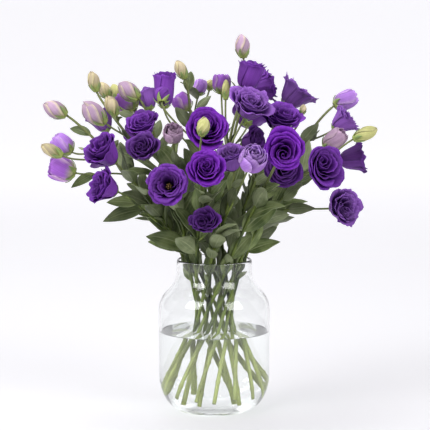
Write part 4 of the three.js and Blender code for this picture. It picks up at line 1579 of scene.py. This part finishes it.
@dataclass
class Foliage:
    """Makes the stems and the leaves.

    The steps are those of a stem's line below the waist, from there to the neck, and above it, and
    of a side stalk's. A receptacle's rings are its distances from the seat and its swellings.
    """

    leaf_sheet: Sheet
    thickness: float = 0.7
    foot_steps: int = 32
    neck_steps: int = 8
    main_steps: int = 30
    stalk_steps: int = 18
    joint_swelling: float = 1.24
    receptacle: tuple[tuple[float, float], ...] = ((-3.0, 1.0), (-1.6, 1.9), (-0.2, 2.6), (0.9, 2.2))
    stem_finish: bpy.types.Material = field(init=False)
    leaf_finishes: list[bpy.types.Material] = field(init=False)

    def __post_init__(self) -> None:
        """Paints the greens."""
        self.stem_finish = StemFinish().paint()
        upper = LeafFinish("leaf_face", (0.18, 0.225, 0.085), (0.06, 0.09, 0.026), (0.32, 0.36, 0.18))
        under = LeafFinish("leaf_back", (0.26, 0.3, 0.165), (0.14, 0.175, 0.078), (0.35, 0.39, 0.23))
        self.leaf_finishes = [under.paint(), upper.paint()]

    def stem(self, stem: Stem, number: int) -> Piece:
        """Makes one stem with its side stalks, as bevelled curves made solid."""
        deselect()
        bpy.ops.curve.primitive_bezier_curve_add()
        piece = bpy.context.object
        curve = piece.data
        curve.splines.clear()
        curve.bevel_depth = MM
        curve.bevel_resolution = 3
        curve.use_fill_caps = True
        curve.dimensions = "3D"
        line = [
            *np.linspace(stem.foot, stem.waist, self.foot_steps, endpoint=False),
            *np.linspace(stem.waist, stem.exit, self.neck_steps, endpoint=False),
            *stem.main.walk(self.main_steps),
        ]
        sizes = [
            *np.linspace(FOOT_RADIUS, WAIST_RADIUS, self.foot_steps, endpoint=False),
            *np.linspace(WAIST_RADIUS, NECK_RADIUS, self.neck_steps, endpoint=False),
            *np.linspace(NECK_RADIUS, TOP_RADIUS, self.main_steps + 1),
        ]
        random = draws(617 * number)
        for joint in (4 + int(6 * next(random)), 15 + int(8 * next(random)), 27):
            sizes[joint] *= self.joint_swelling
        self._spline(curve, line, sizes, stem.heads[0])
        for stalk, head in zip(stem.stalks, stem.heads[1:]):
            line = stalk.walk(self.stalk_steps)
            self._spline(curve, line, [STALK_RADIUS] * len(line), head)
        choose(piece)
        bpy.ops.object.convert(target="MESH")
        piece = bpy.context.object
        piece.name = f"stem_{number:02d}"
        piece.data.name = piece.name
        piece.data.materials.clear()
        piece.data.materials.append(self.stem_finish)
        return seat(piece, f"leafy_stem_{number:02d}")

    def _spline(
        self, curve: bpy.types.Curve, points: Sequence[Array], radii: Sequence[float], head: Head
    ) -> None:
        """Adds one line to the curve, swelling into the receptacle under its head."""
        line, sizes = list(points[:-1]), list(radii[:-1])
        for away, swelling in self.receptacle:
            line.append(head.seat + head.direction * away)
            sizes.append(radii[-1] + (swelling - 1) * head.radius / 20)
        spline = curve.splines.new("POLY")
        spline.points.add(len(line) - 1)
        for node, at, size in zip(spline.points, line, sizes):
            node.co = (*(at * MM), 1.0)
            node.radius = size

    def leaves(self, leaves: Sequence[Leaf], number: int) -> Piece | None:
        """Makes the leaves of one stem, or None if it has none."""
        if not leaves:
            return None
        random = draws(71 * number)
        sheet = self.leaf_sheet
        blades = []
        for leaf in leaves:
            t, u = sheet.v, sheet.u
            half = leaf.length * LEAF_SLENDERNESS / 2
            width = np.maximum(half * np.sin(math.pi * t**0.75) ** 0.85, 0.12 + 1.1 * (1 - t) ** 6)
            sag = LEAF_DROOP * t**2 + 0.05 * next(random) * t**4
            wave = LEAF_WAVE * half * np.sin(2 * math.pi * t)
            ripple = 0.05 * half * np.sin(2 * math.pi * (2.5 * t + next(random))) * np.abs(u) ** 2
            lift = LEAF_KEEL * width * np.abs(u) ** 1.4 + wave * u + ripple * (t * (1 - t) * 4)
            points = (
                leaf.root
                + np.outer(leaf.length * t, leaf.way)
                + np.outer(leaf.length * sag, DOWN)
                + np.outer(width * u, leaf.across)
                + np.outer(lift, leaf.face)
            )
            blades.append(Blade(points, 0, next(random)))
        name = f"leaves_{number:02d}"
        piece = sheet.gather(name, blades, self.leaf_finishes, self.thickness)
        return seat(piece, f"leafy_stem_{number:02d}")


# The vase and its water


@dataclass
class Jar:
    """The glass vase and the water in it, turned from rings as a potter would.

    The profiles give the radius and the height of each ring in millimetres: under the base, up the
    shoulder, over the rim, and across the floor inside.
    """

    segments: int = 96
    wall: float = 3.0
    floor: float = 8.5
    film: float = 0.25
    heel_radius: float = 43.0
    heel_height: float = 50.0
    body_radius: float = 75.5
    water_level: float = 109.0
    shoulder: tuple[tuple[float, float], ...] = (
        (75.5, 138), (74.6, 146), (71.5, 154), (67.6, 160), (62.9, 165), (58.0, 171),
        (53.8, 177), (51.7, 184), (51.0, 192), (51.0, 200), (51.0, 204.5),
    )
    base: tuple[tuple[float, float], ...] = (
        (6.0, 1.3), (20.0, 1.2), (32.0, 0.8), (37.0, 0.2), (39.5, 0.0),
    )
    rim: tuple[tuple[float, float], ...] = (
        (50.7, 206.0), (50.0, 206.8), (49.3, 207.0), (48.6, 206.7), (48.0, 205.8),
    )
    heel_steps: int = 9
    smooth_up_to: float = 42.0

    def outer(self) -> list[tuple[float, float]]:
        """The outer wall from the base up to just under the rim."""
        heel = []
        for i in range(1, self.heel_steps + 1):
            turn = math.pi / 2 * i / self.heel_steps
            radius = self.heel_radius + (self.body_radius - self.heel_radius) * math.sin(turn)
            heel.append((radius, self.heel_height * (1 - math.cos(turn))))
        body = [(self.body_radius, z) for z in (70.0, 95.0, 120.0)]
        return [(self.heel_radius, 0.0), *heel, *body, *self.shoulder]

    def inner(self, gap: float = 0.0) -> list[tuple[float, float]]:
        """The inner wall from the floor up, a given distance in from the glass."""
        made = []
        for radius, height in self.outer():
            share = min(height / self.heel_height, 1.0)
            made.append((radius - self.wall - gap, height + (self.floor + gap) * (1 - share)))
        return made

    def turn(self, name: str, profile: Sequence[tuple[float, float]]) -> Piece:
        """Extrudes a disc ring by ring along a profile, and closes it at both ends.

        Args:
            name: The piece's name.
            profile: Radius and height of each ring, in millimetres.

        Returns:
            The piece.
        """
        deselect()
        radius, height = profile[0]
        bpy.ops.mesh.primitive_circle_add(
            vertices=self.segments, radius=radius * MM, fill_type="NGON",
            location=(0, 0, height * MM),
        )
        piece = bpy.context.object
        piece.name = name
        bpy.ops.object.transform_apply(location=True, rotation=True, scale=True)
        bpy.ops.object.mode_set(mode="EDIT")
        bpy.ops.mesh.select_all(action="SELECT")
        for next_radius, next_height in profile[1:]:
            rise = (0.0, 0.0, (next_height - height) * MM)
            bpy.ops.mesh.extrude_region_move(TRANSFORM_OT_translate={"value": rise})
            share = next_radius / radius
            bpy.ops.transform.resize(
                value=(share, share, 1.0), center_override=(0.0, 0.0, next_height * MM)
            )
            radius, height = next_radius, next_height
        bpy.ops.mesh.select_all(action="SELECT")
        bpy.ops.mesh.normals_make_consistent(inside=False)
        bpy.ops.object.mode_set(mode="OBJECT")
        return piece

    def crisp(self, piece: Piece) -> Piece:
        """Keeps the edge between a flat and a wall sharp in the shading."""
        bpy.ops.object.shade_smooth_by_angle(angle=math.radians(self.smooth_up_to))
        return piece

    def glass(self) -> Piece:
        """Makes the glass, with a slightly hollow base and a rounded rim."""
        bottom = [(radius, self.floor) for radius in (30.0, 14.0, 4.0)]
        rings = [*self.base, *self.outer(), *self.rim, *reversed(self.inner()), *bottom]
        piece = self.turn("vase_glass", rings)
        piece.data.materials.append(ClearFinish("clear_glass", 1.5).paint())
        return self.crisp(seat(piece, "glass_vase"))

    def water(self) -> Piece:
        """Makes the water, which reaches just into the glass and climbs it a little."""
        level = self.water_level
        wall = [(radius, height) for radius, height in self.inner(-self.film) if height < level - 4]
        widest = self.body_radius - self.wall + self.film
        meniscus = [
            (widest, level - 2.0), (widest, level + 0.8), (widest - 0.4, level + 0.3),
            (widest - 1.0, level + 0.08), (widest - 1.8, level),
        ]
        top = [(radius, level) for radius in (50.0, 28.0, 10.0)]
        bottom = [(radius, self.floor - self.film) for radius in (4.0, 25.0)]
        piece = self.turn("water_body", [*bottom, *wall, *meniscus, *top])
        piece.data.materials.append(ClearFinish("clear_water", 1.333).paint())
        return self.crisp(seat(piece, "water"))


# The studio


def aim(thing: Piece, target: Sequence[float]) -> None:
    """Turns a camera or a lamp towards a place."""
    x, y, z = np.array(target) - np.array(thing.location)
    thing.rotation_euler = (math.atan2(math.hypot(x, y), -z), 0.0, math.atan2(-x, y))


@dataclass(frozen=True)
class Lamp:
    """A soft box: its place and its width and height in metres, and its power in watts."""

    name: str
    place: tuple[float, float, float]
    size: tuple[float, float]
    power: float

    def hang(self, target: Sequence[float]) -> None:
        """Adds the lamp, facing a place."""
        bpy.ops.object.light_add(type="AREA", location=self.place)
        lamp = bpy.context.object
        lamp.name = self.name
        lamp.data.shape = "RECTANGLE"
        lamp.data.size, lamp.data.size_y = self.size
        lamp.data.energy = self.power
        aim(lamp, target)


LAMPS = (
    Lamp("window_left", (-1.5, -1.2, 1.7), (1.35, 1.25), 36),
    Lamp("window_right", (1.5, -1.3, 1.6), (1.35, 1.25), 28),
    Lamp("box_above", (-0.4, 0.3, 2.2), (1.6, 1.4), 20),
)


@dataclass
class Studio:
    """The pale floor and backdrop, the soft light and the camera, in metres."""

    eye: tuple[float, float, float] = (0.0, -2.2, 0.515)
    target: tuple[float, float, float] = (0.001, 0.0, 0.267)
    lit_middle: tuple[float, float, float] = (0.0, 0.0, 0.28)
    lens: float = 136.9
    sensor: float = 36.0
    sky: Colour = (0.93, 0.92, 0.96)
    sky_strength: float = 0.5
    floor_size: float = 10.0
    floor_middle: tuple[float, float, float] = (0.0, -1.0, -0.0006)
    sweep_steps: int = 12
    sweep_radius: float = 2.0
    wall_height: float = 4.0

    def camera(self) -> None:
        """Sets the camera at the photograph's angle."""
        bpy.ops.object.camera_add(location=self.eye)
        camera = bpy.context.object
        camera.name = "camera"
        aim(camera, self.target)
        camera.data.lens = self.lens
        camera.data.sensor_width = self.sensor
        camera.data.clip_start = 0.01
        bpy.context.scene.camera = camera
        bpy.context.scene.view_settings.view_transform = "Standard"

    def backdrop(self) -> None:
        """Makes the floor, which sweeps up into a wall far behind."""
        deselect()
        bpy.ops.mesh.primitive_plane_add(size=self.floor_size, location=self.floor_middle)
        floor = bpy.context.object
        floor.name = "floor"
        bpy.ops.object.mode_set(mode="EDIT")
        bpy.ops.mesh.select_all(action="DESELECT")
        bpy.ops.object.mode_set(mode="OBJECT")
        back = self.floor_size * 0.49
        for edge in floor.data.edges:
            edge.select = all(floor.data.vertices[i].co.y > back for i in edge.vertices)
        bpy.ops.object.mode_set(mode="EDIT")
        turns = [math.pi / 2 * i / self.sweep_steps for i in range(self.sweep_steps + 1)]
        moves = [
            (0.0, math.sin(high) - math.sin(low), math.cos(low) - math.cos(high))
            for low, high in zip(turns, turns[1:])
        ]
        moves = [tuple(self.sweep_radius * share for share in move) for move in moves]
        for move in [*moves, (0.0, 0.0, self.wall_height)]:
            bpy.ops.mesh.extrude_region_move(TRANSFORM_OT_translate={"value": move})
        bpy.ops.object.mode_set(mode="OBJECT")
        bpy.ops.object.shade_smooth()
        # The backdrop's glow is painted light, brighter towards the far wall.
        white = PlainFinish("floor_white", (0.71, 0.705, 0.722), painted_glow=(0.49, 0.49, 0.5))
        floor.data.materials.append(white.paint())

    def light(self) -> None:
        """Lights the room evenly, with two windows in front and one box above."""
        world = bpy.data.worlds.new("pale_room")
        bpy.context.scene.world = world
        world.use_nodes = True
        background = world.node_tree.nodes["Background"]
        background.inputs["Color"].default_value = (*self.sky, 1.0)
        background.inputs["Strength"].default_value = self.sky_strength
        for lamp in LAMPS:
            lamp.hang(self.lit_middle)


def main() -> None:
    """Builds every piece in order."""
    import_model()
    studio = Studio()
    studio.camera()
    arrangement = Arrangement(stems())
    jar = Jar()
    jar.glass()
    jar.water()
    foliage = Foliage(Sheet(6, 14))
    flowers = Flowers(Sheet(18, 9), Sheet(9, 12), Sheet(2, 8))
    bloom = 0
    for number, stem in enumerate(arrangement.stems, 1):
        foliage.stem(stem, number)
        foliage.leaves(arrangement.leaves[number - 1], number)
        flowers.sepals(stem.heads, number)
        flowers.buds(stem.heads, number)
        for one in stem.heads:
            if one.form is Form.BUD:
                continue
            bloom += 1
            flowers.bloom(one, bloom)
            if one.form is Form.OPEN:
                flowers.stamens(one, bloom)
    studio.backdrop()
    studio.light()
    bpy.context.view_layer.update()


if __name__ == "__main__":
    logging.basicConfig(level=logging.INFO)
    main()
